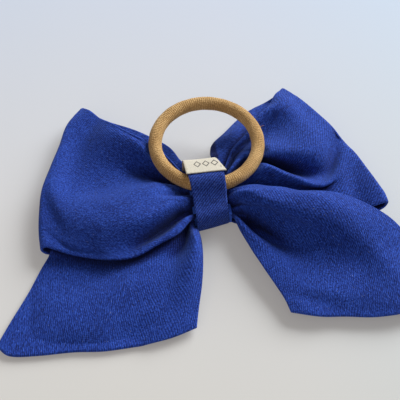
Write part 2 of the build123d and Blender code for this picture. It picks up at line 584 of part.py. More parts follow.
with BuildSketch() as pad:
    with BuildLine():
        Polyline(*PAD_OUTLINE, close=True)
    make_face()
pad_profile = pad.sketch - Pos(TUNNEL_Y, TUNNEL_Z) * Circle(TUNNEL_R + PAD_TUNNEL_AIR)
save(extrude_yz(pad_profile, PAD_HALF_X)[0], "glue_pad")

# ---------------------------------------------------------------------- label
# a folded tape over the top turn of the wrap
LABEL_WINDOW = Pos(12.7, 11.5) * Rectangle(16.4, 13.0)  # part of the band it covers
STITCHES_X = (-7.4, -5.4, 5.4, 7.4)
STITCH_Y = 7.6
STITCH_R = 0.12
STITCH_LENGTH = 1.3
STITCH_LIFT = 0.16            # stitch centreline above the label

label_outer = band_profile(LABEL_LIFT + LABEL_T)
label_profile = (label_outer - band_profile(LABEL_LIFT)) & LABEL_WINDOW
save(largest(extrude_yz(label_profile, LABEL_HALF_X)), "fabric_label")

# four short stitches near the label's lower end on the back of the wrap
label_wire = label_outer.faces()[0].outer_wire()
wire_points = [label_wire.position_at(k / 2000) for k in range(2001)]
# in the outline X is the bow's y and Y its z; keep the back, above the hump
label_back = [p for p in wire_points if p.Y > 9.0 and p.X > 5.8]


def label_z(y):
    return min(label_back, key=lambda p: abs(p.X - y)).Y


stitch_z = max(label_z(STITCH_Y + shift) for shift in (-0.2, 0, 0.2)) + STITCH_LIFT
stitches = []
for x in STITCHES_X:
    stitch = Pos(x, STITCH_Y, stitch_z) * Rot(0, 90, 0) * Cylinder(STITCH_R, STITCH_LENGTH)
    stitches.append(stitch.solids()[0])
save(Compound(stitches), "label_stitches")


# ------------------------------------------------------------------- hair tie
def tie_wedge(half_span):
    """Wedge from the tie's centre, half_span degrees each side of the join."""
    points = [(0, 0)]
    for k in range(9):
        angle = math.radians(TIE_JOIN_MIDDLE - half_span + 2 * half_span * k / 8)
        points.append((40 * math.cos(angle), 40 * math.sin(angle)))
    with BuildPart() as part:
        with BuildSketch(Plane.XY.offset(-6)):
            with BuildLine():
                Polyline(*points, close=True)
            make_face()
        extrude(amount=12)
    return part.part


tie_plane = Plane(origin=TIE_CENTRE, x_dir=(1, 0, 0),
                  z_dir=(0, -math.sin(TIE_TILT), math.cos(TIE_TILT)))
core = tie_plane * Torus(TIE_R, TIE_CORE_R)
save(core.solids()[0], "hair_tie_core")

# the join replaces a short length of the sheath
tube = Torus(TIE_R, TIE_CORD_R) - Torus(TIE_R, TIE_CORE_R + TIE_CORE_AIR)
gap_wedge = tie_wedge(TIE_JOIN_SPAN / 2 + TIE_JOIN_GAP)
join_wedge = tie_wedge(TIE_JOIN_SPAN / 2)
save(tie_plane * (tube - gap_wedge).solids()[0], "hair_tie_sheath")
save(tie_plane * (tube & join_wedge).solids()[0], "hair_tie_join")
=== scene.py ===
"""Looks of a fabric hair bow: four cloth lengths, centre wrap, label and hair tie.

Frame: the bow lies on the table (z = 0) with the knot near the origin. The loops reach
out to -x (left) and +x (right), the tails run towards -y, and the hair tie rests on top.
The wrap goes round the knot in the y-z plane. Shapes are in mm and become metres in
new_object; lights, camera and table are in metres.

The cloth lengths are grids laid along ribs that run from the knot to a fold or a cut
end. A short cloth run eases them, then each is given the thickness of two plies.
"""
import math

import bmesh
import bpy
import numpy as np
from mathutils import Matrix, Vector
from mathutils.bvhtree import BVHTree


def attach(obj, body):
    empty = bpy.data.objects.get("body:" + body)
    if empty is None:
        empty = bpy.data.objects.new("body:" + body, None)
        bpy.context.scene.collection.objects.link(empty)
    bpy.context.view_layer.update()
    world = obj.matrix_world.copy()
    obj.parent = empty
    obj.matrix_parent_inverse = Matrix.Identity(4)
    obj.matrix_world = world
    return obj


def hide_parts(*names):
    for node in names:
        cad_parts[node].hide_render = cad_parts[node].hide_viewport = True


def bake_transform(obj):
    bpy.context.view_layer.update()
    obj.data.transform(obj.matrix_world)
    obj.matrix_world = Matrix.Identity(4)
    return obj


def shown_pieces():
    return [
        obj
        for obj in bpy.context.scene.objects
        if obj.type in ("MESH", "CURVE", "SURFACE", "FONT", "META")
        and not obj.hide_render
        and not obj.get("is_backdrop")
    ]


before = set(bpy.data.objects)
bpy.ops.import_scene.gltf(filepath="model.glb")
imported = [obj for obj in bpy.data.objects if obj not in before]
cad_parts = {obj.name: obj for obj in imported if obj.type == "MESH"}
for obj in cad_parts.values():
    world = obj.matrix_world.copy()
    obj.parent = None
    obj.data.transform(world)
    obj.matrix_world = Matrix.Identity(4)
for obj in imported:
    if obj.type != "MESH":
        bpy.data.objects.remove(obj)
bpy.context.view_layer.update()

MM = 0.001
# a quick build runs the cloth just as long as a full one
QUICK_FRAMES, FULL_FRAMES = 26, 26
CLOTH_FRAMES = FULL_FRAMES

# ------------------------------------------------------------------ dimensions, mm
HALF = 0.56                        # half the thickness of the two plies
SEAM = 6.0                         # width of the folded-in edges
SHEET_GAP = 2 * HALF * 1.12 + 0.12   # between the middles of stacked sheets
SHEET_FLOOR = 0.75                 # lowest middle of a sheet
EDGE_LINES = (0.28, 0.75)          # extra grid lines, measured in from an edge

KNOT_X = 5.4                       # how near the middle the cloth reaches in the knot
KNOT_LOW, KNOT_MIDDLE, KNOT_HIGH = 2.1, 4.5, 6.9   # heights of the layers in the knot

LOWER_POINTS = 34                  # points along the lower run of a loop
FOLD_POINTS = 9                    # points round its outer fold
LOOP_RIBS = 46                     # grid columns before refining
TAIL_RIBS = 44
REFINE = 2
FOLD_ROW = REFINE * LOWER_POINTS + 4   # row of a refined loop that lies in its fold

TIE_CENTRE = np.array([2.15, 22.6, 13.6])
TIE_R = 21.2
CORD_R = 2.8
TILT = math.radians(6.0)           # the +y side of the tie is raised
TIE_X = np.array([1.0, 0, 0])
TIE_Y = np.array([0, math.cos(TILT), math.sin(TILT)])
TIE_UP = np.cross(TIE_X, TIE_Y)

# ------------------------------------------------------------------ ribs
# Each rib is a row of (x, y, z) points from the knot outwards. Loop ribs go from the
# -y edge to the +y edge, tail ribs from the inner edge to the outer one.
# "Lower" is the run of a loop next to the table, "upper" the run above it.
LEFT_LOWER = [
    [(-8, -11, 1.5), (-18, -15.5, 1.5), (-30, -17.5, 1), (-44, -18.5, 0.9), (-57, -18.3, 1.2)],
    [(-8, -9, 1.5), (-19, -12, 1), (-31, -12.5, 0.9), (-45, -12, 0.9), (-58, -10.5, 1.2)],
    [(-8, -6.6, 1.5), (-19, -8, 1.5), (-31, -7, 1.2), (-45, -5, 0.9), (-58.5, -2.5, 1.2)],
    [(-8, -3.8, 1.5), (-19, -3.6, 0.9), (-31, -0.5, 0.9), (-45, 3.5, 0.9), (-58, 7.5, 1.2)],
    [(-8, -0.6, 1.5), (-18.5, 1.2, 1.5), (-30, 5.5, 1.4), (-43.5, 12, 0.9), (-56, 18, 1.2)],
    [(-8, 2.9, 1.5), (-18, 6.2, 0.9), (-29, 12, 0.9), (-41, 20.5, 0.9), (-53, 29, 1.2)],
    [(-8, 6.5, 1.5), (-17, 11.5, 1.5), (-26.5, 19, 1.5), (-37.5, 29, 1), (-48.5, 39.5, 1.2)],
    [(-8, 10, 1.5), (-15.5, 17, 1.2), (-23.5, 26, 1), (-33, 37.5, 0.9), (-43.5, 49, 1.2)],
    [(-8, 13.5, 2.6), (-6.6, 18.6, 4.6), (-8.5, 23.9, 3.5), (-12.1, 32, 3.4),
     (-20, 40.4, 2.4), (-33.2, 50, 2)],
]
LEFT_UPPER = [
    [(-8, -11.2, 6.2), (-9.5, -12.8, 7.3), (-14.6, -18.7, 8), (-22.5, -22.7, 8.2),
     (-31.4, -26.3, 7.6), (-42.1, -25.9, 7.2), (-54.6, -21.6, 6.4), (-68, -16, 4)],
    [(-8, -9.6, 6.8), (-11.8, -12.2, 7.6), (-17.2, -17.5, 8.2), (-24.3, -21.4, 8.2),
     (-32, -24, 7.6), (-42.3, -23.6, 7.6), (-54, -19.3, 7), (-68.2, -12.4, 4.5)],
    [(-8, -7.8, 5.6), (-12.9, -7.9, 6), (-19, -12.6, 6.2), (-25, -16.8, 6.8),
     (-32, -20.4, 7.6), (-41.6, -20.8, 8.6), (-54.5, -16.8, 8.4), (-68.4, -7.7, 5)],
    [(-8, -5.2, 7.8), (-14, -7.7, 10.6), (-21.2, -12.6, 12.2), (-28.1, -15.3, 13),
     (-37.4, -15.1, 13.2), (-46.9, -12.3, 12), (-57.7, -7, 9.8), (-67.8, 1.5, 5.5)],
    [(-8, -1.6, 8), (-14.8, -4.8, 11.6), (-21.8, -7.6, 13.6), (-28.9, -8.1, 14.2),
     (-37.7, -6, 13.8), (-48.1, -1.7, 12.2), (-59, 5, 9.8), (-66.3, 12.5, 6)],
    [(-8, 3.2, 6.6), (-14.7, 3, 9.2), (-21.4, 3.9, 11.2), (-27.9, 2.8, 11.6),
     (-36, 2, 11.4), (-46, 7.8, 10), (-55.4, 16.5, 7.8), (-62.7, 24.3, 5.2)],
    [(-8, 6.4, 5.8), (-14.3, 10.3, 5.8), (-20.5, 13.7, 6), (-27.2, 16, 7),
     (-35.3, 16.9, 7.9), (-43.6, 22.3, 7.5), (-51.4, 31, 6.6), (-58.4, 36.6, 4.8)],
    [(-8, 9.6, 6.2), (-14.6, 14.4, 7.4), (-18.9, 19.3, 9.4), (-25.1, 22.7, 12.2),
     (-32.8, 28.2, 13.2), (-40.6, 36, 11.4), (-47.5, 43.6, 8.2), (-54.4, 48.1, 5.2)],
    [(-8, 12.8, 7), (-12.7, 19.2, 8.6), (-17.1, 23.6, 11.2), (-22.5, 27.2, 14),
     (-30.5, 33.7, 15), (-37.4, 42.7, 12.8), (-43, 51.6, 9), (-47.8, 57.7, 4.8)],
]
LEFT_TAIL = [
    [(-8, -11, 5), (-6.8, -14.8, 6.2), (-6.6, -23.1, 7.2), (-7.2, -32.6, 7),
     (-8.9, -41.7, 5), (-11.3, -50.6, 3.2), (-13.1, -58.3, 2)],
    [(-8, -9.4, 5.6), (-9.3, -17.1, 7.6), (-9.4, -26.3, 9.2), (-12.2, -35.5, 8.6),
     (-15.3, -44.6, 6.4), (-18.6, -52.8, 4), (-22.7, -61.1, 1.8)],
    [(-8, -7.2, 3.1), (-11, -14.8, 4.1), (-14, -22.8, 5.1), (-18.4, -33.1, 5.8),
     (-23.5, -43.6, 5.4), (-28.7, -53.2, 4), (-33.5, -62.3, 1.6)],
    [(-8, -4.8, 3.7), (-14.8, -13.6, 3.9), (-20.5, -21.6, 4.7), (-27.5, -32.2, 5.6),
     (-34, -43.7, 5.6), (-40.2, -53.9, 4.2), (-46.3, -62.7, 1.4)],
    [(-8, -1.9, 3.1), (-21, -9.5, 3.3), (-33, -17, 3.7), (-36.9, -30, 5),
     (-45.1, -43.3, 6), (-52, -54.7, 4.6), (-58.5, -61.3, 1.3)],
    [(-8, 1.5, 3.7), (-24, -3.5, 3.3), (-40, -11, 3.3), (-46.9, -24.9, 4),
     (-56.2, -40.1, 5), (-63.9, -52, 4.4), (-70.8, -60.8, 1.2)],
    [(-8, 5, 3.1), (-28, 0.5, 3.1), (-46, -6, 3.1), (-56.6, -19.4, 3.6),
     (-65.8, -34.1, 3.6), (-73.7, -46.2, 3), (-80.8, -59.4, 1.2)],
    [(-8, 8.5, 3.5), (-31, 5, 3), (-51, -2, 3), (-64.6, -16.5, 3.2),
     (-73.4, -33.3, 2.6), (-80.8, -46.3, 2), (-85.4, -54.8, 1.4)],
]
RIGHT_LOWER = [
    [(8, -10.6, 1.5), (20, -14.5, 1.5), (33, -16, 1), (47, -16.8, 0.9), (60, -16, 1.2)],
    [(8, -9.2, 1.5), (20, -11.3, 1), (33, -11.6, 0.9), (47, -10.6, 0.9), (60, -9, 1.2)],
    [(8, -6.8, 1.5), (20, -7.4, 1.5), (33, -6.2, 1.2), (46.5, -3.6, 0.9), (59, -0.5, 1.2)],
    [(8, -4.2, 1.5), (19.5, -3.2, 0.9), (32, -0.2, 0.9), (45.5, 4, 0.9), (58, 8, 1.2)],
    [(8, -1.6, 1.5), (19, 1, 1.5), (31, 5.5, 1.4), (43.5, 11.5, 0.9), (56, 16.5, 1.2)],
    [(8, 1.2, 1.4), (18.5, 5.2, 0.9), (29.5, 11.5, 0.9), (41, 19.5, 0.9), (53, 25.5, 1.2)],
    [(8, 4.3, 1.5), (17.5, 9.6, 1.5), (27.5, 17.5, 1.5), (38.5, 27, 1), (49.5, 34, 1.2)],
    [(8, 7.5, 1.5), (16.5, 14.5, 1.5), (25.5, 24, 1.2), (35.5, 34.5, 1), (45.5, 42, 1.2)],
    [(8, 10.5, 2.7), (8.8, 18.4, 4.4), (10.8, 24.7, 4.6), (18, 32.4, 5.4),
     (27.3, 44.7, 2.6), (37.8, 53.1, 1.6)],
    [(8, 13.8, 3), (4.2, 19.4, 6), (5, 28.7, 4.4), (11.2, 35.2, 4.4),
     (22.6, 48, 2), (33.4, 54.4, 1.8)],
]
RIGHT_UPPER = [
    [(8, -10.6, 4.2), (20, -12, 3.6), (32, -13, 4), (45, -13.8, 5), (56, -14.2, 5.6),
     (70.6, -12.3, 5)],
    [(8, -7.6, 4), (20, -8.4, 3.6), (32, -9.6, 4.2), (45, -10.4, 5.6), (56, -10, 6.6),
     (70.1, -7.9, 5.5)],
    [(8, -4.2, 4.4), (20, -4.4, 4), (32, -6.4, 5.2), (45, -7.4, 7.2), (56, -6.2, 8),
     (68.4, -2, 6)],
    [(8, -1, 4.2), (17.1, 4.4, 5), (26.6, 2, 5.6), (39, -1.5, 7), (53, -1.1, 8.6),
     (66.2, 5.3, 6.2)],
    [(8, 2.5, 5.4), (16.6, 9.3, 8.8), (23.1, 9, 10), (34.1, 2.1, 10.4), (45.5, -2.9, 10),
     (63.5, 13.3, 6.5)],
    [(8, 5.5, 4.2), (18.6, 15.5, 5.4), (24.9, 15.3, 5.6), (34.8, 10, 5.8), (47.9, 6.5, 6.4),
     (60.5, 20.9, 6.8)],
    [(8, 8.5, 5.8), (16.5, 16.4, 9), (22.2, 15.7, 10.8), (31.4, 14, 12.4), (43.5, 14.4, 13.2),
     (57.5, 26.7, 7.4)],
    [(8, 10.8, 4.6), (15.3, 21.6, 6.4), (21.6, 26, 7.8), (30.5, 30.7, 9), (42.3, 32, 10.8),
     (52.9, 37.3, 7)],
    [(8, 12.6, 5.2), (13.4, 22.5, 6.6), (21.4, 30.4, 8.8), (29.1, 37.7, 11.2), (37.4, 40.6, 12),
     (47.5, 47.2, 6.6)],
    [(8, 13.6, 5.4), (12.7, 23.4, 6.4), (20.7, 30.8, 7.8), (28.5, 38.6, 9.8), (35.1, 48.3, 9),
     (41.8, 57.1, 5.2)],
]
RIGHT_TAIL = [
    [(8, -10.8, 6.4), (8.5, -14.7, 6.2), (10.3, -22.2, 6.2), (13, -30.2, 5.8),
     (15.6, -37.5, 5.4), (18.5, -45, 4.8), (20.8, -51.3, 4.2), (22.3, -57.2, 3.6)],
    [(8, -9.8, 6.6), (10.2, -14.2, 6), (13.4, -21, 6), (17.7, -27.9, 5.8),
     (22.4, -36.7, 5.6), (25.2, -45.6, 5.6), (28.4, -52.9, 5), (31.8, -60.3, 4.2)],
    [(8, -8.8, 5.2), (10.9, -10.5, 3.8), (15.9, -14.7, 2.4), (21.6, -20.9, 2.4),
     (27.8, -29.8, 3.8), (32.6, -41.9, 5.6), (36.6, -53, 6), (41.3, -61.3, 4.8)],
    [(8, -6.6, 6.8), (12.9, -9.9, 7.2), (18.3, -13.6, 6.6), (25.7, -19.6, 5.8),
     (33.8, -28.4, 6), (40.6, -40.1, 6.8), (45.7, -52.7, 7), (51.3, -63.1, 5.6)],
    [(8, -4.2, 8.2), (13.4, -8.6, 10.2), (20.6, -13, 10.8), (30.1, -19.7, 10.2),
     (40.1, -27, 10), (48.5, -37, 8.8), (55.5, -51.5, 8), (61.8, -63.3, 6)],
    [(8, -1.8, 8.4), (13.5, -7.5, 12.6), (21.7, -13, 14), (33.2, -20.5, 15),
     (44.3, -25.8, 14.6), (54.7, -34.2, 12.2), (63.8, -48.8, 9), (71.1, -61.6, 5.6)],
    [(8, 0, 7.8), (14.8, -3, 11.4), (23.8, -7.8, 14), (36.6, -14.9, 16.2),
     (47.7, -20.2, 16.4), (59.6, -29.6, 13.6), (70.3, -45.2, 8.6), (79.3, -59, 4.8)],
    [(8, 1.6, 7), (16, 1.6, 9), (25.2, -3.4, 11.4), (38.9, -8.9, 14),
     (51.9, -13.3, 14.8), (64.9, -21.8, 13), (76, -37.3, 8.6), (85.8, -56.2, 4)],
]

# Sharp folds: (x, y) line from the knot outwards, depth (below 0 raises a ridge),
# width at the start, width at the end.
LEFT_UPPER_CREASES = [
    ([(-6.6, -5.7), (-13.1, -9.4), (-19.2, -14.0), (-25.2, -19.0), (-30.1, -21.5)],
     2.1, 1.1, 2.2),
    ([(-7.1, 2.3), (-11.8, 0.4), (-16.8, -1.4), (-23.1, -1.3)], 3.2, 1.1, 2.0),
    ([(-10.1, 10.6), (-14.5, 12.1), (-20.7, 15.4), (-27.1, 18.0), (-34.3, 19.8),
      (-42.2, 23.3)], 2.4, 1.6, 3.6),
    ([(-6.7, -9.3), (-9.5, -12.7)], 0.8, 0.9, 1.3),
    ([(-10.7, 15.5), (-14.8, 19.4), (-19.7, 23.3), (-25.0, 27.5), (-30.3, 32.2),
      (-35.7, 38.4)], 1.7, 0.8, 0.8),
]
LEFT_LOWER_CREASES = [
    ([(-8.4, 24.5), (-12.3, 30.9), (-16.7, 36.7), (-24.7, 43.7)], 1.1, 1.0, 1.6),
]
LEFT_TAIL_CREASES = [
    ([(-6.5, -10.8), (-10.2, -17.9), (-14.4, -22.8), (-20.0, -26.9), (-27.1, -28.3)],
     3.2, 1.6, 3.6),
    ([(-6.5, -19.8), (-7.9, -32.5), (-11.2, -44.6)], -0.8, 2.5, 4.0),
]
RIGHT_UPPER_CREASES = [
    ([(11.6, 17.0), (18.6, 16.0), (24.9, 15.7), (34.2, 9.6), (44.7, 0.8)], 1.2, 1.2, 2.4),
    ([(12.5, 19.8), (16.6, 24.0), (21.1, 28.5), (24.8, 32.9)], 2.6, 0.8, 1.3),
    ([(9.0, 3.0), (17.5, 4.5), (27.4, 2.1), (38.8, -2.6)], 1.2, 1.2, 2.4),
]
RIGHT_LOWER_CREASES = [
    ([(5.2, 24.6), (8.9, 26.4), (13.7, 29.8), (17.5, 34.6)], 1.3, 1.5, 2.4),
]
RIGHT_TAIL_CREASES = [
    ([(7.5, -6.1), (10.6, -6.7), (13.9, -8.4), (16.7, -11.1), (18.9, -14.4), (21.1, -17.9)],
     3.3, 0.8, 1.5),
    ([(6.9, -9.9), (10.6, -12.2), (15.6, -16.2), (20.9, -22.0), (27.6, -28.2)],
     2.2, 1.4, 3.2),
    ([(18.2, -18.5), (31.6, -27.1), (45.4, -35.9), (59.1, -43.6)], 1.2, 4.0, 6.0),
    ([(34.2, -12.0), (44.7, -17.9), (55.5, -26.2)], -0.9, 4.0, 6.0),
]


# ------------------------------------------------------------------ curves
def between(t, start, end, first, last):
    """Straight blend of first and last as t goes from start to end."""
    return (end - t) / (end - start) * first + (t - start) / (end - start) * last


def catmull(points, count):
    """A centripetal curve through points, resampled evenly to count points."""
    p = np.array(points, float)
    padded = np.vstack([2 * p[0] - p[1], p, 2 * p[-1] - p[-2]])
    fine = []
    for i in range(1, len(padded) - 2):
        p0, p1, p2, p3 = padded[i - 1:i + 3]
        steps = [max(np.linalg.norm(b - a), 1e-6) ** 0.5
                 for a, b in ((p0, p1), (p1, p2), (p2, p3))]
        t0, t1 = 0.0, steps[0]
        t2, t3 = t1 + steps[1], t1 + steps[1] + steps[2]
        t = np.linspace(t1, t2, 20, endpoint=False)[:, None]
        a1 = between(t, t0, t1, p0, p1)
        a2 = between(t, t1, t2, p1, p2)
        a3 = between(t, t2, t3, p2, p3)
        b1 = between(t, t0, t2, a1, a2)
        b2 = between(t, t1, t3, a2, a3)
        fine.append(between(t, t1, t2, b1, b2))
    fine = np.vstack(fine + [padded[-2:-1]])
    length = path_length(fine)
    even = np.linspace(0, length[-1], count)
    return np.stack([np.interp(even, length, fine[:, k]) for k in range(3)], 1)


def path_length(line):
    """Length along a line at each of its points."""
    return np.r_[0, np.cumsum(np.linalg.norm(np.diff(line, axis=0), axis=1))]


def across(rows, count):
    """Smooth resample of the second axis with an even rib parameter."""
    ribs = rows.shape[1]
    t = np.linspace(0, ribs - 1, count)
    i = np.clip(t.astype(int), 0, ribs - 2)
    f = (t - i)[None, :, None]
    pad = np.concatenate([2 * rows[:, :1] - rows[:, 1:2], rows,
                          2 * rows[:, -1:] - rows[:, -2:-1]], 1)
    p0, p1, p2, p3 = pad[:, i], pad[:, i + 1], pad[:, i + 2], pad[:, i + 3]
    return 0.5 * ((2 * p1) + (-p0 + p2) * f + (2 * p0 - 5 * p1 + 4 * p2 - p3) * f ** 2
                  + (-p0 + 3 * p1 - 3 * p2 + p3) * f ** 3)


def refine(grid, factor):
    """Smooth upsample of a grid by a whole factor both ways."""
    for _ in range(2):
        grid = np.swapaxes(across(grid, (grid.shape[1] - 1) * factor + 1), 0, 1)
    return grid


# ------------------------------------------------------------------ grids
def deepen(rows, gain=0.75, reach=20.0):
    """Sharpen ridges and valleys between ribs close to the knot."""
    z = rows[..., 2]
    bulge = np.zeros_like(z)
    bulge[:, 1:-1] = z[:, 1:-1] - 0.5 * (z[:, :-2] + z[:, 2:])
    far = np.hypot(np.clip(np.abs(rows[..., 0]) - 7.6, 0, None),
                   np.clip(-rows[..., 1] - 12, 0, None))
    weight = np.exp(-(far / reach) ** 2) * np.clip((np.abs(rows[..., 0]) - 6.5) / 3.5, 0, 1)
    rows[..., 2] = z + gain * bulge * weight
    return rows


def inside_knot(first, layer_z, knot_x):
    """Two points that continue a rib a little way under the wrap."""
    y = first[1] * 0.93 + 0.1
    return [(knot_x, y * 0.97, layer_z),
            (knot_x * 1.22, y, 0.6 * layer_z + 0.4 * min(first[2], 7.4))]


def fold_arc(lower_end, upper):
    """Half turn from the lower run of a rib to its upper run, and its radius by place."""
    def arc(radius):
        fold = upper[-1]
        inward = lower_end - fold
        inward[2] = 0
        inward /= np.linalg.norm(inward)
        low = max(fold[2] - radius - 0.3, 1.1)
        high = fold[2] + min(radius, 0.9 * (upper[-2][2] - fold[2]) + 0.8)
        centre = fold + inward * radius
        points = []
        for k in range(FOLD_POINTS):
            angle = math.pi * k / (FOLD_POINTS - 1)
            reach = fold[2] - low if angle <= math.pi / 2 else high - fold[2]
            p = centre - inward * radius * math.sin(angle)
            p[2] = fold[2] - reach * math.cos(angle)
            points.append(p)
        return np.array(points)
    return arc


def loop_grid(lower_ribs, upper_ribs, upper_z, knot_x, upper_points):
    """A loop: lower run out from the knot, round the fold, upper run back."""
    lowers, folds, uppers = [], [], []
    radii = [2.1] * (len(lower_ribs) - 2) + [1.7, 1.1]   # tighter at the +y edge
    for lower, upper, radius in zip(lower_ribs, upper_ribs, radii):
        lower, upper = np.array(lower, float), np.array(upper, float)
        arc = fold_arc(lower[-1], upper)(radius)
        lowers.append(catmull([*inside_knot(lower[0], KNOT_LOW, knot_x), *lower, arc[0]],
                              LOWER_POINTS))
        folds.append(arc)
        uppers.append(catmull([*inside_knot(upper[0], upper_z, knot_x), *upper[:-1], arc[-1]],
                              upper_points)[::-1])
    lowers, folds, uppers = (np.stack(run, 1) for run in (lowers, folds, uppers))
    return across(deepen(np.vstack([lowers, folds[1:-1], uppers])), LOOP_RIBS)


def tail_grid(ribs, layer_z, knot_x, points):
    rows = np.stack([catmull([*inside_knot(rib[0], layer_z, knot_x), *rib], points)
                     for rib in ribs], 1)
    return across(deepen(rows), TAIL_RIBS)


def grid_faces(rows, columns):
    return [(i * columns + j, (i + 1) * columns + j, (i + 1) * columns + j + 1,
             i * columns + j + 1)
            for i in range(rows - 1) for j in range(columns - 1)]


def blur(values, passes):
    for _ in range(passes):
        p = np.pad(values, 1, mode="edge")
        values = 0.25 * (p[:-2, 1:-1] + p[2:, 1:-1] + p[1:-1, :-2] + p[1:-1, 2:])
    return values


def ripples(shape, seed, size, height):
    """Soft random unevenness on a grid, size cells to a ripple."""
    draw = np.random.default_rng(seed)
    coarse = draw.standard_normal((max(4, int(shape[0] / size)), max(4, int(shape[1] / size))))
    u = np.linspace(0, coarse.shape[0] - 1.001, shape[0])
    v = np.linspace(0, coarse.shape[1] - 1.001, shape[1])
    i, j = u.astype(int), v.astype(int)
    fu, fv = (u - i)[:, None], (v - j)[None]
    fu, fv = fu * fu * (3 - 2 * fu), fv * fv * (3 - 2 * fv)
    return height * (coarse[np.ix_(i, j)] * (1 - fu) * (1 - fv)
                     + coarse[np.ix_(i + 1, j)] * fu * (1 - fv)
                     + coarse[np.ix_(i, j + 1)] * (1 - fu) * fv
                     + coarse[np.ix_(i + 1, j + 1)] * fu * fv)


def gathers(grid, phase, height=0.55, pitch=3.3, reach=9.0):
    """Fine pleats that die away from the knot."""
    x, y = np.abs(grid[..., 0]), grid[..., 1]
    far = np.hypot(np.clip(x - 7.6, 0, None), 1.6 * np.clip(np.abs(y - 1) - 12, 0, None))
    weight = np.exp(-(far / reach) ** 1.3) * np.clip((x - 4.5) / 2.5, 0, 1)
    fanned = y / (1 + 0.055 * far)
    grid = grid.copy()
    grid[..., 2] += height * weight * np.cos(2 * np.pi * fanned / pitch + phase)
    return grid


def crease(grid, folds, rows):
    """Press sharp valleys (or raise soft ridges) along drawn lines."""
    grid = grid.copy()
    part = grid[rows]
    x, y = part[..., 0], part[..., 1]
    total = np.zeros(part.shape[:2])
    for line, depth, start_width, end_width in folds:
        points = catmull([(px, py, 0) for px, py in line], 40)[:, :2]
        nearest = np.full(part.shape[:2], 1e9)
        along = np.zeros(part.shape[:2])
        for k in range(39):
            a = points[k]
            ab = points[k + 1] - a
            t = np.clip(((x - a[0]) * ab[0] + (y - a[1]) * ab[1]) / (ab @ ab), 0, 1)
            distance = np.hypot(x - a[0] - t * ab[0], y - a[1] - t * ab[1])
            closer = distance < nearest
            nearest = np.where(closer, distance, nearest)
            along = np.where(closer, (k + t) / 39, along)
        width = start_width + (end_width - start_width) * along
        taper = np.clip(1 - along, 0, 1) ** 0.7 * np.clip(along / 0.04 + 0.75, 0, 1)
        end = np.where(along >= 0.999, 0.0, 1.0)
        # a V at the bottom that rounds over into the lobes either side
        valley = (np.exp(-(nearest / width)) * 0.65
                  + np.exp(-(nearest / (1.5 * width)) ** 2) * 0.35)
        lobes = 0.0
        if depth > 0:
            lobes = 0.16 * np.exp(-((nearest - 2.6 * width) / (1.3 * width)) ** 2)
        total += depth * taper * end * (valley - lobes)
    part[..., 2] -= blur(total, 1)
    return grid


def lay_on(upper, lower, soften=4):
    """Lift a sheet softly so that it clears the one under it."""
    tree = BVHTree.FromPolygons([Vector(p) for p in lower.reshape(-1, 3)],
                                grid_faces(*lower.shape[:2]))
    need = np.zeros(upper.shape[:2])
    for i in range(upper.shape[0]):
        for j in range(upper.shape[1]):
            x, y, z = upper[i, j]
            point = tree.ray_cast(Vector((x, y, 80.0)), Vector((0, 0, -1)))[0]
            if point is not None:
                need[i, j] = max(0.0, point.z + SHEET_GAP - z)
    lift = need.copy()
    for _ in range(soften):
        lift = np.maximum(need, blur(lift, 1))
    upper = upper.copy()
    upper[..., 2] += lift
    return upper


def press_under_tie(grid, air=0.25):
    """Lower a sheet where the resting hair tie needs the room."""
    y = grid[..., 1] - TIE_CENTRE[1]
    ring_z = TIE_CENTRE[2] + y * math.tan(TILT)
    radius = np.hypot(grid[..., 0] - TIE_CENTRE[0], y / math.cos(TILT))
    off = np.abs(radius - TIE_R)
    limit = np.where(off < 5.5, ring_z - (CORD_R + HALF + air) + off ** 2 / 7.5, 99.0)
    out = grid.copy()
    out[..., 2] = np.minimum(out[..., 2], limit)
    return out


# ------------------------------------------------------------------ cloth run
def pin_map(grid, free, knot, soft=10.0, fold_row=None):
    """How firmly each point is held: hard at the knot and at a fold."""
    far = np.clip(np.abs(grid[..., 0]) - knot, 0, None)
    hold = free + (1 - free) * np.exp(-(far / soft) ** 2)
    if fold_row is not None:
        rows_off = np.abs(np.arange(grid.shape[0])[:, None] - fold_row)
        hold = np.maximum(hold, 0.75 * np.exp(-(rows_off / 4.0) ** 2) + free)
    return np.clip(hold, 0, 1)


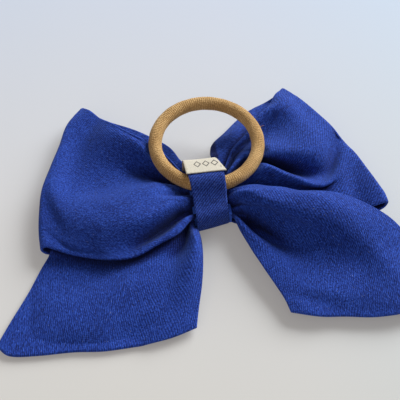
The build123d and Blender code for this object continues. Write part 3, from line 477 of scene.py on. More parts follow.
def settle(grid, pin, name, shrink):
    """A short cloth run: the grid keeps its pinned parts and wrinkles between."""
    rows, columns = grid.shape[:2]
    scale = 0.01                       # 1 mm becomes 1 cm, which the solver likes
    mesh = bpy.data.meshes.new(name)
    mesh.from_pydata([tuple(v) for v in grid.reshape(-1, 3) * scale], [],
                     grid_faces(rows, columns))
    mesh.update()
    ob = bpy.data.objects.new(name, mesh)
    bpy.context.scene.collection.objects.link(ob)
    group = ob.vertex_groups.new(name="pin")
    for k, weight in enumerate(pin.reshape(-1)):
        group.add([k], float(weight), "REPLACE")
    cloth = ob.modifiers.new("cloth", "CLOTH")
    s = cloth.settings
    s.quality = 6
    s.mass = 0.25
    s.tension_stiffness = s.compression_stiffness = 18
    s.shear_stiffness = 6
    s.bending_model = "ANGULAR"
    s.bending_stiffness = 6.0
    s.tension_damping = s.compression_damping = 12
    s.shear_damping = 8
    s.bending_damping = 1.0
    s.air_damping = 4
    s.vertex_group_mass = "pin"
    s.pin_stiffness = 1.0
    s.shrink_min = s.shrink_max = shrink
    s.effector_weights.gravity = 1.0
    cloth.collision_settings.use_collision = False
    cloth.collision_settings.use_self_collision = False
    cloth.point_cache.frame_start = 1
    cloth.point_cache.frame_end = CLOTH_FRAMES
    scene = bpy.context.scene
    old_gravity = tuple(scene.gravity)
    scene.gravity = (0, 0, -0.6)
    for f in range(1, CLOTH_FRAMES + 1):
        scene.frame_set(f)
    evaluated = ob.evaluated_get(bpy.context.evaluated_depsgraph_get())
    out = np.empty(len(mesh.vertices) * 3)
    evaluated.data.vertices.foreach_get("co", out)
    out = out.reshape(rows, columns, 3) / scale
    scene.gravity = old_gravity
    scene.frame_set(1)
    bpy.data.objects.remove(ob)
    bpy.data.meshes.remove(mesh)
    # a run that blows up is left out
    if not np.isfinite(out).all() or np.abs(out - grid).max() > 12:
        return grid
    # the run's grid-sized zigzags are not cloth: only the folds are kept
    move = out - grid
    for k in range(3):
        move[..., k] = blur(move[..., k], 5)
    return grid + move


# ------------------------------------------------------------------ meshes
def new_object(name, verts, faces, uvs=None):
    """A smooth-shaded object from vertices in mm."""
    mesh = bpy.data.meshes.new(name)
    mesh.from_pydata([tuple(v) for v in np.asarray(verts) * MM], [], faces)
    mesh.update()
    if uvs is not None:
        layer = mesh.uv_layers.new(name="UVMap")
        corner = np.empty(len(mesh.loops), dtype=np.int32)
        mesh.loops.foreach_get("vertex_index", corner)
        layer.data.foreach_set("uv", np.asarray(uvs, float)[corner].ravel())
    mesh.polygons.foreach_set("use_smooth", [True] * len(mesh.polygons))
    ob = bpy.data.objects.new(name, mesh)
    bpy.context.scene.collection.objects.link(ob)
    return ob


def clean(ob, merge=None):
    """Turn all faces outwards; with a merge distance (m), join points and fill holes first."""
    bm = bmesh.new()
    bm.from_mesh(ob.data)
    if merge is not None:
        bmesh.ops.remove_doubles(bm, verts=bm.verts, dist=merge)
        holes = [e for e in bm.edges if e.is_boundary]
        if holes:
            bmesh.ops.holes_fill(bm, edges=holes, sides=0)
    bmesh.ops.recalc_face_normals(bm, faces=bm.faces)
    bm.to_mesh(ob.data)
    bm.free()
    ob.data.polygons.foreach_set("use_smooth", [True] * len(ob.data.polygons))
    return ob


def finish_piece(ob, material, body=None, stands_for=()):
    ob.data.materials.append(material)
    if body:
        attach(ob, body)
    if stands_for:
        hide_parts(*stands_for)
    return ob


def normals(grid):
    spacing = np.linalg.norm(np.diff(grid, axis=0), axis=2).mean(1)
    du = np.gradient(grid, np.cumsum(np.r_[0, spacing]), axis=0)
    n = np.cross(du, np.gradient(grid, axis=1))
    return n / np.maximum(np.linalg.norm(n, axis=2, keepdims=True), 1e-9)


def edge_lines(grid):
    """Insert columns close to both side edges so they can be rounded."""
    def beside(a, b):
        distance = np.linalg.norm(b - a, axis=1, keepdims=True)
        return [(a + (b - a) * np.minimum(w / distance, 0.6))[:, None] for w in EDGE_LINES]
    first = beside(grid[:, 0], grid[:, 1])
    last = beside(grid[:, -1], grid[:, -2])
    return np.concatenate([grid[:, :1], *first, grid[:, 1:-1], *last[::-1], grid[:, -1:]], 1)


def two_ply(name, grid, open_end):
    """A closed, round-edged cloth of two plies from its middle grid."""
    grid = edge_lines(grid)
    if open_end:
        grid = np.swapaxes(edge_lines(np.swapaxes(grid, 0, 1)), 0, 1)
        grid = np.concatenate([grid[:1], grid[3:]])    # no extra lines inside the knot
    nu, nv = grid.shape[:2]
    along = np.concatenate([np.zeros((1, nv)), np.cumsum(
        np.linalg.norm(np.diff(grid, axis=0), axis=2), axis=0)])
    side = np.concatenate([np.zeros((nu, 1)), np.cumsum(
        np.linalg.norm(np.diff(grid, axis=1), axis=2), axis=1)], 1)

    def rounding(distance):
        return np.sqrt(np.clip(1 - (1 - np.clip(distance / HALF, 0, 1)) ** 2, 0.10, 1))

    width = side[:, -1:]
    edge = np.minimum(side, width - side)
    half = HALF * rounding(edge)
    # the folded-in edges stand a little thicker, away from the knot
    far = np.clip((np.abs(grid[..., 0]) - 14) / 12, 0, 1)
    half = half * (1 + 0.22 * (1 / (1 + np.exp((edge - SEAM) / 0.35))) * far)
    if open_end:
        to_end = along[-1:] - along
        half = half * rounding(to_end)
        half = half * (1 + 0.20 / (1 + np.exp((to_end - SEAM) / 0.35)))
    offset = normals(grid) * half[..., None]
    verts = np.concatenate([(grid + offset).reshape(-1, 3), (grid - offset).reshape(-1, 3)])
    # texture runs at true size along and across the strip
    uv = np.stack([along, side - width / 2], -1).reshape(-1, 2)
    uvs = np.concatenate([uv, uv + [0.37, 0.0]])
    faces = []
    m = nu * nv
    for a, b, c, d in grid_faces(nu, nv):
        faces += [(a, b, c, d), (m + a, m + d, m + c, m + b)]
    for i in range(nu - 1):
        a, b = i * nv, (i + 1) * nv
        faces.append((a, m + a, m + b, b))
        a, b = a + nv - 1, b + nv - 1
        faces.append((a, b, m + b, m + a))
    for a in range(nv - 1):
        faces.append((a, a + 1, m + a + 1, m + a))
        e = (nu - 1) * nv + a
        faces.append((e, m + e, m + e + 1, e + 1))
    # extra edge lines can meet at a narrow neck, so points that fall together become one
    return clean(new_object(name, verts, faces, uvs), merge=3e-6)


def fold_shade(cloths, others, reach=11.0, rays=40):
    """Store on each point how closed in by cloth it is (0 in the open, 1 deep in a fold), as
    painted shade that darkens the cloth colour.
    """
    all_verts, all_faces = [], []
    for ob in cloths + others:
        base = len(all_verts)
        all_verts += [v.co.copy() for v in ob.data.vertices]
        all_faces += [tuple(base + k for k in p.vertices) for p in ob.data.polygons]
    tree = BVHTree.FromPolygons(all_verts, all_faces)
    # directions spread evenly over a sphere
    k = np.arange(rays) + 0.5
    turn, cos_up = math.pi * (1 + 5 ** 0.5) * k, 1 - 2 * k / rays
    sin_up = np.sqrt(1 - cos_up ** 2)
    directions = np.stack([np.cos(turn) * sin_up, np.sin(turn) * sin_up, cos_up], 1)
    vectors = [Vector(d) for d in directions]
    far = reach * MM
    for ob in cloths:
        mesh = ob.data
        n = len(mesh.vertices)
        places, facing = np.zeros(n * 3), np.zeros(n * 3)
        mesh.vertices.foreach_get("co", places)
        mesh.vertices.foreach_get("normal", facing)
        places, facing = places.reshape(-1, 3), facing.reshape(-1, 3)
        cosines = facing @ directions.T
        shade = np.zeros(n)
        for i in range(n):
            if abs(places[i, 0]) < 0.0066:         # hidden under the wrap: a fixed painted shade of 0.8
                shade[i] = 0.8
                continue
            start = Vector(places[i] + facing[i] * 0.00012)
            closed = total = 0.0
            for m in np.nonzero(cosines[i] > 0.12)[0]:
                weight = cosines[i, m]
                total += weight
                hit = tree.ray_cast(start, vectors[m], far)
                if hit[0] is not None:
                    closed += weight * (1 - (hit[3] / far) ** 1.5)
            shade[i] = closed / max(total, 1e-6)
        edges = np.zeros(len(mesh.edges) * 2, dtype=np.int64)
        mesh.edges.foreach_get("vertices", edges)
        edges = edges.reshape(-1, 2)
        degree = np.bincount(edges.ravel(), minlength=n).astype(float)
        for _ in range(2):
            near = (np.bincount(edges[:, 0], shade[edges[:, 1]], n)
                    + np.bincount(edges[:, 1], shade[edges[:, 0]], n))
            shade = 0.5 * shade + 0.5 * near / np.maximum(degree, 1)
        attribute = mesh.attributes.new("shade", "FLOAT", "POINT")
        attribute.data.foreach_set("value", shade.astype(np.float32))


# ------------------------------------------------------------------ node helpers
class Graph:
    """Short calls that add nodes to one tree and link them."""

    def __init__(self, tree):
        self.tree = tree

    def node(self, kind, **settings):
        made = self.tree.nodes.new(kind)
        for key, value in settings.items():
            setattr(made, key, value)
        return made

    def plug(self, source, socket):
        """Link a socket, or set it when the source is a plain value."""
        if isinstance(source, (int, float, tuple)):
            socket.default_value = source
        else:
            self.tree.links.new(source, socket)

    def plug_all(self, node, inputs):
        for name, source in inputs.items():
            self.plug(source, node.inputs[name])

    def math(self, operation, *inputs):
        made = self.node("ShaderNodeMath", operation=operation)
        for i, source in enumerate(inputs):
            self.plug(source, made.inputs[i])
        return made.outputs[0]

    def add(self, a, b):
        return self.math("ADD", a, b)

    def sub(self, a, b):
        return self.math("SUBTRACT", a, b)

    def mul(self, a, b):
        return self.math("MULTIPLY", a, b)

    def sine(self, phase, period):
        return self.math("SINE", self.mul(phase, 2 * math.pi / period))

    def weighted(self, plain, centred=()):
        """Sum of (source, weight) pairs; centred sources have 0.5 taken off first."""
        total = None
        for source, weight in plain:
            term = self.mul(source, weight)
            total = term if total is None else self.add(total, term)
        for source, weight in centred:
            total = self.add(total, self.mul(self.sub(source, 0.5), weight))
        return total

    def noise(self, vector, stretch, detail, roughness=0.5, turn=0.0, scale=1.0):
        mapping = self.node("ShaderNodeMapping")
        self.plug_all(mapping, {"Scale": (*stretch, 1), "Rotation": (0, 0, turn),
                                "Vector": vector})
        made = self.node("ShaderNodeTexNoise")
        self.plug_all(made, {"Scale": scale, "Detail": detail, "Roughness": roughness,
                             "Vector": mapping.outputs["Vector"]})
        return made.outputs["Fac"]

    def ramp(self, factor, stops):
        """Colour ramp from (position, rgb) stops."""
        made = self.node("ShaderNodeValToRGB")
        elements = made.color_ramp.elements
        while len(elements) < len(stops):
            elements.new(0.5)
        for i, (position, rgb) in enumerate(stops):
            elements[i].position = position
            elements[i].color = (*rgb, 1)
        self.plug(factor, made.inputs["Fac"])
        return made.outputs["Color"]

    def mix(self, factor, a, b, blend_type="MIX"):
        made = self.node("ShaderNodeMix", data_type="RGBA", blend_type=blend_type)
        self.plug_all(made, {"Factor": factor, "A": a, "B": b})
        return made.outputs["Result"]

    def bump(self, height, strength, distance):
        made = self.node("ShaderNodeBump")
        self.plug_all(made, {"Strength": strength, "Distance": distance, "Height": height})
        return made.outputs["Normal"]

    def split(self, vector):
        made = self.node("ShaderNodeSeparateXYZ")
        self.plug(vector, made.inputs[0])
        return made.outputs[0], made.outputs[1]

    def uv(self):
        """The UV vector in mm, then its parts along and across the cloth."""
        vector = self.node("ShaderNodeUVMap", uv_map="UVMap").outputs["UV"]
        return vector, *self.split(vector)


def new_material(name, base, roughness):
    material = bpy.data.materials.new(name)
    material.use_nodes = True
    graph = Graph(material.node_tree)
    bsdf = material.node_tree.nodes["Principled BSDF"]
    graph.plug_all(bsdf, {"Base Color": (*base, 1), "Roughness": roughness})
    return material, graph, bsdf


# ------------------------------------------------------------------ materials
BLACK, WHITE = (0, 0, 0), (1, 1, 1)


def twill(name, tones, rib_period, rib_slope, rib_depth):
    """Cotton twill: diagonal ribs, yarn grain, slubs, lint, a soft sheen and painted shade in
    folds.
    """
    dark, middle, light = tones
    material, g, bsdf = new_material(name, middle, roughness=0.86)
    uv, along, side = g.uv()
    # a little waver keeps the ribs from looking ruled
    waver = g.noise(uv, (0.35, 0.35), detail=3)
    shift = g.mul(waver, 0.55)
    diagonal = g.add(g.weighted([(along, 1.0), (side, rib_slope)]), shift)
    ribs = g.sine(diagonal, rib_period)
    warp = g.sine(g.add(side, g.mul(waver, 0.25)), period=0.46)
    weft = g.sine(g.add(along, g.mul(waver, 0.25)), period=0.50)
    yarn = g.mul(warp, weft)
    slubs_along = g.noise(uv, (0.28, 2.6), detail=3, roughness=0.6)
    slubs_across = g.noise(uv, (2.4, 0.30), detail=3, roughness=0.6)
    grain = g.noise(uv, (1.25, 1.35), detail=4, roughness=0.7)
    patches = g.noise(uv, (0.045, 0.05), detail=3, roughness=0.55)
    tone = g.weighted([(ribs, 0.22 * rib_depth), (yarn, 0.12)],
                      centred=[(slubs_along, 0.85), (slubs_across, 0.75), (grain, 1.9),
                               (patches, 0.35)])
    colour = g.ramp(g.add(tone, 0.5), [(0.18, dark), (0.52, middle), (0.92, light)])
    # strongly convex places are mixed towards a lighter blue
    convex = g.node("ShaderNodeNewGeometry").outputs["Pointiness"]
    convex_mask = g.ramp(convex, [(0.515, BLACK), (0.60, WHITE)])
    convex_blue = tuple(min(1, c * 1.6 + 0.012) for c in light)
    colour = g.mix(g.mul(convex_mask, 0.30), colour, (*convex_blue, 1))
    lint = g.noise(uv, (0.9, 2.0), detail=2, roughness=0.4, turn=0.5)
    specks = g.ramp(lint, [(0.70, BLACK), (0.76, WHITE)])
    colour = g.mix(g.mul(specks, 0.5), colour, (0.30, 0.36, 0.62, 1))
    # painted shade: cloth deep in a fold, between pieces and under the wrap is darkened by the
    # stored shade
    shade = g.node("ShaderNodeAttribute", attribute_name="shade").outputs["Fac"]
    painted_fold_shade = g.ramp(shade, [(0.06, WHITE), (0.25, (0.52, 0.49, 0.60)),
                          (0.52, (0.13, 0.11, 0.22))])
    colour = g.mix(1.0, colour, painted_fold_shade, blend_type="MULTIPLY")
    roughness = g.add(0.80, g.mul(grain, 0.16))
    height = g.weighted([(ribs, 0.32 * rib_depth), (yarn, 0.22), (grain, 1.1),
                         (slubs_along, 0.6)])
    g.plug_all(bsdf, {
        "Base Color": colour,
        "Roughness": roughness,
        "Normal": g.bump(height, strength=0.7, distance=0.00028),
        "Sheen Weight": 0.22,
        "Sheen Roughness": 0.45,
        "Sheen Tint": (0.22, 0.38, 1.0, 1),
        "Specular IOR Level": 0.22,
    })
    return material


def knit_material():
    """Tan knitted tube: rows round the cord, faint wales along it, fuzz."""
    material, g, bsdf = new_material("tan_tube_knit", (0.42, 0.27, 0.13), roughness=0.88)
    uv, along, side = g.uv()
    waver = g.noise(uv, (0.25, 0.5), detail=3)
    along = g.add(along, g.mul(waver, 0.9))
    side = g.add(side, g.mul(waver, 0.3))
    rows = g.sine(along, period=0.85)
    wales = g.sine(side, period=0.80)
    fuzz = g.noise(uv, (2.0, 1.5), detail=5, roughness=0.8, turn=0.15)
    patches = g.noise(uv, (0.10, 0.16), detail=3)
    tone = g.weighted([(rows, 0.10), (wales, 0.02)], centred=[(fuzz, 2.0), (patches, 0.7)])
    colour = g.ramp(g.add(tone, 0.5), [(0.14, (0.31, 0.165, 0.056)),
                                       (0.5, (0.56, 0.325, 0.120)),
                                       (0.88, (0.90, 0.60, 0.28))])
    height = g.weighted([(rows, 0.35), (wales, 0.10), (fuzz, 1.2)])
    g.plug_all(bsdf, {
        "Base Color": colour,
        "Normal": g.bump(height, strength=0.8, distance=0.00034),
        "Roughness": g.add(0.78, g.mul(fuzz, 0.2)),
        "Sheen Weight": 0.16,
        "Sheen Roughness": 0.4,
        "Sheen Tint": (1.0, 0.86, 0.66, 1),
        "Specular IOR Level": 0.2,
    })
    return material


def tape_material():
    """Cream cotton tape with a plain row of diamonds in dark thread."""
    material, g, bsdf = new_material("cream_cotton_tape", (0.72, 0.66, 0.53), roughness=0.9)
    uv, along, side = g.uv()
    fine = g.noise(uv, (3.0, 3.0), detail=4, roughness=0.6)
    warp = g.sine(side, period=0.42)
    weft = g.sine(along, period=0.42)
    weave = g.mul(warp, weft)
    tone = g.add(g.mul(weave, 0.10), fine)
    colour = g.ramp(tone, [(0.25, (0.50, 0.44, 0.33)), (0.5, (0.68, 0.62, 0.50)),
                           (0.85, (0.82, 0.77, 0.66))])
    # outlined diamonds, 3.5 mm apart, in a row centred 6 mm along the tape
    from_column = g.math("ABSOLUTE", g.sub(g.math("PINGPONG", side, 1.75), 0.0))
    from_row = g.math("ABSOLUTE", g.sub(along, 6.0))
    diamond = g.add(g.mul(from_column, 1.5), from_row)
    ring = g.math("ABSOLUTE", g.sub(diamond, 2.0))
    inside = g.math("LESS_THAN", g.add(ring, g.mul(fine, 0.16)), 0.46)
    in_row = g.math("LESS_THAN", g.math("ABSOLUTE", side), 5.25)
    mark = g.mul(inside, in_row)
    colour = g.mix(g.mul(mark, 0.88), colour, (0.035, 0.030, 0.032, 1))
    height = g.add(g.mul(weave, 0.5), fine)
    g.plug_all(bsdf, {
        "Base Color": colour,
        "Normal": g.bump(height, strength=0.5, distance=0.00012),
        "Sheen Weight": 0.1,
        "Specular IOR Level": 0.2,
    })
    return material


def plain_fibre(name, base, roughness=0.85):
    """Small parts: fine bump and uneven colour from one noise."""
    material, g, bsdf = new_material(name, base, roughness)
    place = g.node("ShaderNodeTexCoord").outputs["Object"]
    speckle = g.noise(place, (1, 1), detail=3, scale=2600.0)
    colour = g.ramp(speckle, [(0.3, tuple(c * 0.6 for c in base)),
                              (0.7, tuple(min(1, c * 1.25) for c in base))])
    g.plug_all(bsdf, {
        "Base Color": colour,
        "Normal": g.bump(speckle, strength=0.5, distance=0.0001),
        "Specular IOR Level": 0.25,
    })
    return material


# dark, middle and light of the cloth
BLUE = ((0.0030, 0.012, 0.098), (0.0105, 0.0395, 0.290), (0.040, 0.118, 0.60))
# the wrap's own dark, middle and light: the same blue, toned apart for the light the wrap gets,
# which is painted light
WRAP_BLUE_AS_LIT = ((0.0040, 0.0120, 0.095), (0.0140, 0.0380, 0.250), (0.040, 0.100, 0.48))

CLOTH = twill("blue_cotton_twill", BLUE, rib_period=1.6, rib_slope=1.25, rib_depth=0.6)
CLOTH_LEFT = twill("blue_cotton_twill_left", BLUE, rib_period=1.15 * 1.6, rib_slope=2.5,
                   rib_depth=0.55)
CLOTH_WRAP = twill("blue_cotton_twill_wrap", WRAP_BLUE_AS_LIT, rib_period=0.8 * 1.6, rib_slope=-1.0,
                   rib_depth=1.1)
KNIT = knit_material()
TAPE = tape_material()
BLUE_THREAD = plain_fibre("blue_thread", (0.012, 0.03, 0.18))
CREAM_THREAD = plain_fibre("cream_thread", (0.62, 0.55, 0.40))
GLUE = plain_fibre("cloudy_glue", (0.62, 0.58, 0.46), roughness=0.45)
RUBBER = plain_fibre("rubber_core", (0.42, 0.32, 0.20), roughness=0.7)


# ------------------------------------------------------------------ the cloth
def shape_sheet(grid, pin, run, shrink, seed, ripple, phase, creases):
    """Settle a sheet, then add its ripples, gathers and creases."""
    grid = refine(settle(grid, pin, run, shrink), REFINE)
    grid[..., 2] += ripples(grid.shape[:2], seed, size=13, height=ripple)
    grid = gathers(grid, phase)
    for folds, rows in creases:
        grid = crease(grid, folds, rows)
    grid[..., 2] = np.maximum(grid[..., 2], SHEET_FLOOR)
    return grid


def shape_loop(grid, upper_creases, lower_creases, **settings):
    pin = pin_map(grid, free=0.12, knot=16.0, fold_row=LOWER_POINTS + 3)
    creases = [(upper_creases, slice(FOLD_ROW + 4, None)),
               (lower_creases, slice(0, FOLD_ROW - 4))]
    return shape_sheet(grid, pin, shrink=-0.022, creases=creases, **settings)


def shape_tail(grid, creases, **settings):
    pin = pin_map(grid, free=0.10, knot=14)
    return shape_sheet(grid, pin, shrink=-0.02, ripple=0.20, creases=[(creases, slice(None))],
                       **settings)


LEFT_PHASE, RIGHT_PHASE = 0.0, 1.2     # where the gathers' waves start
left_loop = shape_loop(
    loop_grid(LEFT_LOWER, LEFT_UPPER, KNOT_HIGH, -KNOT_X, upper_points=44),
    LEFT_UPPER_CREASES, LEFT_LOWER_CREASES, run="run_a", seed=3, ripple=0.20, phase=LEFT_PHASE)
right_loop = shape_loop(
    loop_grid(RIGHT_LOWER, RIGHT_UPPER, KNOT_MIDDLE, KNOT_X, upper_points=40),
    RIGHT_UPPER_CREASES, RIGHT_LOWER_CREASES, run="run_b", seed=4, ripple=0.16,
    phase=RIGHT_PHASE)
left_tail = shape_tail(tail_grid(LEFT_TAIL, KNOT_MIDDLE, -KNOT_X, points=62),
                       LEFT_TAIL_CREASES, run="run_c", seed=5, phase=LEFT_PHASE)
right_tail = shape_tail(tail_grid(RIGHT_TAIL, KNOT_HIGH, KNOT_X, points=66),
                        RIGHT_TAIL_CREASES, run="run_d", seed=6, phase=RIGHT_PHASE)

# keep the stack in order: on the left the tail lies inside the loop, on the right on top
left_tail = lay_on(left_tail, left_loop[:FOLD_ROW - 6])
left_loop = np.vstack([left_loop[:FOLD_ROW + 6], lay_on(left_loop[FOLD_ROW + 6:], left_tail)])
right_loop = np.vstack([right_loop[:FOLD_ROW + 6],
                        lay_on(right_loop[FOLD_ROW + 6:], right_loop[:FOLD_ROW - 6])])
right_tail = lay_on(right_tail, right_loop[FOLD_ROW - 2:])
left_loop = press_under_tie(left_loop)
right_loop = press_under_tie(right_loop)

# name, grid, material, whether it ends in a cut end, CAD pieces it stands for,
# and two bodies with the start and end of a blend between them (m)
CLOTHS = [
    ("left_loop_cloth", left_loop, CLOTH_LEFT, False,
     ("left_loop_outer_ply", "left_loop_inner_ply"),
     ("knot", "left_loop", (-0.0070, 0, 0.003), (-0.0135, 0, 0.003))),
    ("right_loop_cloth", right_loop, CLOTH, False,
     ("right_loop_outer_ply", "right_loop_inner_ply"),
     ("knot", "right_loop", (0.0070, 0, 0.003), (0.0135, 0, 0.003))),
    ("left_tail_cloth", left_tail, CLOTH, True,
     ("left_tail_root_back_ply", "left_tail_root_front_ply",
      "left_tail_end_back_ply", "left_tail_end_front_ply"),
     ("left_loop", "left_tail", (0, -0.0255, 0.0056), (0, -0.0365, 0.0056))),
    ("right_tail_cloth", right_tail, CLOTH, True,
     ("right_tail_back_ply", "right_tail_front_ply"),
     ("knot", "right_tail", (0.0070, 0, 0.0086), (0.0140, 0, 0.0086))),
]
cloth_obs = []
for name, grid, material, open_end, stands_for, blend in CLOTHS:
    ob = two_ply(name, grid, open_end)
    finish_piece(ob, material, stands_for=stands_for)
    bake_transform(ob)
    cloth_obs.append(ob)


# ------------------------------------------------------------------ wrap and label
def wrap_outline():
    """(y, z) of the wrap's outer face: from under the knot, round its -y side, over the
    cord, down its +y side and back."""
    hump_y = TIE_CENTRE[1] - (TIE_R - 1.05) * math.cos(TILT)
    hump_z = TIE_CENTRE[2] - (TIE_R - 1.05) * math.sin(TILT)
    hump_r = 5.05
    start, end = math.pi - math.radians(25), math.radians(72)
    low, high = -12.7, 15.4            # the -y and +y sides
    points = [(1, 0.25), (low + 4, 0.15), (low + 1.6, 0.5), (low + 0.35, 1.7), (low, 4.0),
              (low, 6.6), (low + 0.7, 8.3), (-10.4, 9.4), (-7.6, 10.0), (-4.8, 11.3)]
    for k in range(9):
        t = start - (start - end) * k / 8
        points.append((hump_y + hump_r * math.cos(t), hump_z + hump_r * math.sin(t)))
    points += [(7.4, 15.4), (10.6, 14.5), (13.3, 13.5), (high - 0.5, 11.9), (high, 9.6),
               (high, 6.0), (high, 3.0), (high - 0.5, 1.2), (high - 1.8, 0.35),
               (high - 4, 0.15), (1, 0.25)]
    return catmull([(0, y, z) for y, z in points], 160)[:, 1:]


def outward(line, closed):
    """Unit normals of a (y, z) line, away from the middle of the knot."""
    if closed:
        after, before = np.roll(line, -1, 0), np.roll(line, 1, 0)
    else:
        after = np.vstack([line[1:], 2 * line[-1] - line[-2]])
        before = np.vstack([2 * line[0] - line[1], line[:-1]])
    t = after - before
    t /= np.linalg.norm(t, axis=1, keepdims=True)
    normal = np.stack([-t[:, 1], t[:, 0]], 1)
    middle = np.array([1.5, 6.0])
    return -normal if ((line - middle) * normal).sum() < 0 else normal


def band(name, line, half_widths, thickness, closed, seed, columns, edge_radius,
         x_shift=lambda y: 0.0, slant=0.0):
    """A band along a (y, z) line: rounded edges and its own small waves.

    half_widths(s, y, z) gives the widths to -x and +x; slant skews the -y part.
    """
    if closed:
        line = line[:-1]
    n = len(line)
    normal = outward(line, closed)
    s = path_length(line)
    stations = np.linspace(-1, 1, columns)
    stations = np.sign(stations) * np.abs(stations) ** 0.75
    phase = np.random.default_rng(seed).uniform(0, 6.28, 6)
    outer, inner, outer_uv, inner_uv = [], [], [], []
    for k, (y, z) in enumerate(line):
        left, right = half_widths(s[k], y, z)
        lean = slant / (1 + math.exp((y + 6.0) / 2.0))
        for station in stations:
            half = left if station < 0 else right
            x = half * station
            edge = (1 - abs(station)) * half
            round_off = math.sqrt(max(0.0, 1 - (1 - min(1, edge / edge_radius)) ** 2))
            drop = thickness * 0.5 * (1 - round_off)
            wave = (0.07 * math.sin(s[k] / 5.3 + phase[0] + 0.25 * x)
                    + 0.05 * math.sin(x / 2.1 + phase[1]))
            for skin, offset in ((outer, wave - drop), (inner, drop - thickness)):
                skin.append((x + x_shift(y), y + normal[k, 0] * offset + x * lean,
                             z + normal[k, 1] * offset))
            outer_uv.append((s[k], x))
            inner_uv.append((s[k] + 0.4, x))
    m = len(outer)
    faces = []
    for k in range(n if closed else n - 1):
        a, b = k * columns, ((k + 1) % n) * columns
        for j in range(columns - 1):
            faces.append((a + j, a + j + 1, b + j + 1, b + j))
            faces.append((m + a + j, m + b + j, m + b + j + 1, m + a + j + 1))
        faces.append((a, b, m + b, m + a))
        a, b = a + columns - 1, b + columns - 1
        faces.append((a, m + a, m + b, b))
    if not closed:
        for j in range(columns - 1):
            faces.append((j, m + j, m + j + 1, j + 1))
            e = (n - 1) * columns + j
            faces.append((e, e + 1, m + e + 1, m + e))
    return clean(new_object(name, outer + inner, faces, outer_uv + inner_uv))


def wrap_half_widths(s, y, z):
    """Half widths of the wrap: pinched on the upper side towards -y."""
    pinch = 1 / (1 + math.exp((y + 4.5) / 2.6)) if z > 4 else 0.0
    return (7.6 - 1.0 * pinch - 0.12 * math.sin(s / 4.0),
            6.75 - 0.25 * pinch + 0.10 * math.sin(s / 5.1 + 1))


def label_half_widths(s, y, z):
    """Half widths of the label: narrower on the +x side towards +y."""
    t = np.clip((y - 4.5) / 11.0, 0, 1)
    return 8.7 + 0.3 * t, 7.5 - 3.2 * t


def label_outline(outline, lift=0.62):
    """The part of the wrap from the top of the hump down its +y side, lifted clear."""
    first, last = (int(np.argmin(np.hypot(outline[:, 0] - y, outline[:, 1] - z)))
                   for y, z in ((3.9, 16.3), (15.4, 5.2)))
    line = outline[first:last + 1]
    lifted = line + outward(line, closed=False) * lift
    return catmull([(0, *p) for p in lifted], 44)[:, 1:]


outline = wrap_outline()
wrap = band("centre_wrap_cloth", outline, wrap_half_widths, thickness=0.9, closed=True, seed=3,
            columns=26, edge_radius=0.4, x_shift=lambda y: -0.3 + 0.018 * (2.0 - y),
            slant=0.20)
finish_piece(wrap, CLOTH_WRAP, "knot", ("centre_wrap",))
fold_shade(cloth_obs, [wrap])

label_line = label_outline(outline)
ob = band("fabric_label_tape", label_line, label_half_widths, thickness=0.34, closed=False,
          seed=8, columns=30, edge_radius=0.16)
finish_piece(ob, TAPE, "knot", ("fabric_label",))


# ------------------------------------------------------------------ hair tie
def tie_radial(angle):
    """Unit vector from the tie's centre towards the cord at an angle in radians."""
    return TIE_X * math.cos(angle) + TIE_Y * math.sin(angle)


def tie_mesh(name, start, end, rings, sides=44):
    """A length of the knit cord with a seam ridge along its inner side, angles in degrees."""
    verts, uvs = [], []
    for i in range(rings):
        a = math.radians(start + (end - start) * i / (rings - 1))
        radial = tie_radial(a)
        centre = TIE_CENTRE + radial * TIE_R
        for j in range(sides + 1):
            b = 2 * math.pi * j / sides
            # the ridge and the groove beside it, a little above the middle
            d = ((b - math.radians(158) + math.pi) % (2 * math.pi)) - math.pi
            ridge = 0.028 * math.exp(-(d / 0.10) ** 2)
            groove = 0.03 * math.exp(-((d - 0.26) / 0.12) ** 2)
            r = CORD_R * (0.985 + ridge - groove)
            r += 0.03 * math.sin(9 * a + 1.3) + 0.025 * math.sin(23 * a + 2 * b)
            r = min(r, CORD_R * 1.012)
            verts.append(centre + radial * r * math.cos(b) + TIE_UP * r * math.sin(b))
            uvs.append((TIE_R * a, CORD_R * b))
    faces = []
    w = sides + 1
    for i in range(rings - 1):
        p, q = i * w, (i + 1) * w
        for j in range(sides):
            faces.append((p + j, q + j, q + j + 1, p + j + 1))
    return clean(new_object(name, verts, faces, uvs), merge=1e-6)


# degrees round the tie: the joined ends, and a hair's gap to the rest of the cord
JOIN_START, JOIN_END, JOIN_GAP = 263.5, 272.5, 0.1
ob = tie_mesh("hair_tie_knit", JOIN_END + JOIN_GAP, JOIN_START - JOIN_GAP + 360, rings=300)
finish_piece(ob, KNIT, "tie_sheath", ("hair_tie_sheath",))
ob = tie_mesh("hair_tie_joined_ends", JOIN_START, JOIN_END, rings=14)
finish_piece(ob, KNIT, "tie_sheath", ("hair_tie_join",))


# ------------------------------------------------------------------ threads and fibres
def ring(centre, radius, a, b, sides):
    """Points round a centre in the plane of a and b."""
    angles = [2 * math.pi * k / sides for k in range(sides)]
    return [centre + radius * (a * math.cos(t) + b * math.sin(t)) for t in angles]


def tube_faces(base, rings, sides):
    """Walls and both caps of a tube whose first vertex is base."""
    faces = []
    for i in range(rings - 1):
        p, q = base + i * sides, base + (i + 1) * sides
        for k in range(sides):
            n = (k + 1) % sides
            faces.append((p + k, p + n, q + n, q + k))
    faces.append(tuple(base + k for k in range(sides - 1, -1, -1)))
    faces.append(tuple(base + (rings - 1) * sides + k for k in range(sides)))
    return faces


def unit(vector):
    return vector / np.linalg.norm(vector)


def on_cord(angle, around):
    """Point on the cord (degrees), its direction from the tie's centre and its normal."""
    b = math.radians(around)
    radial = tie_radial(math.radians(angle))
    out = radial * math.cos(b) + TIE_UP * math.sin(b)
    return TIE_CENTRE + radial * TIE_R + out * CORD_R, radial, out


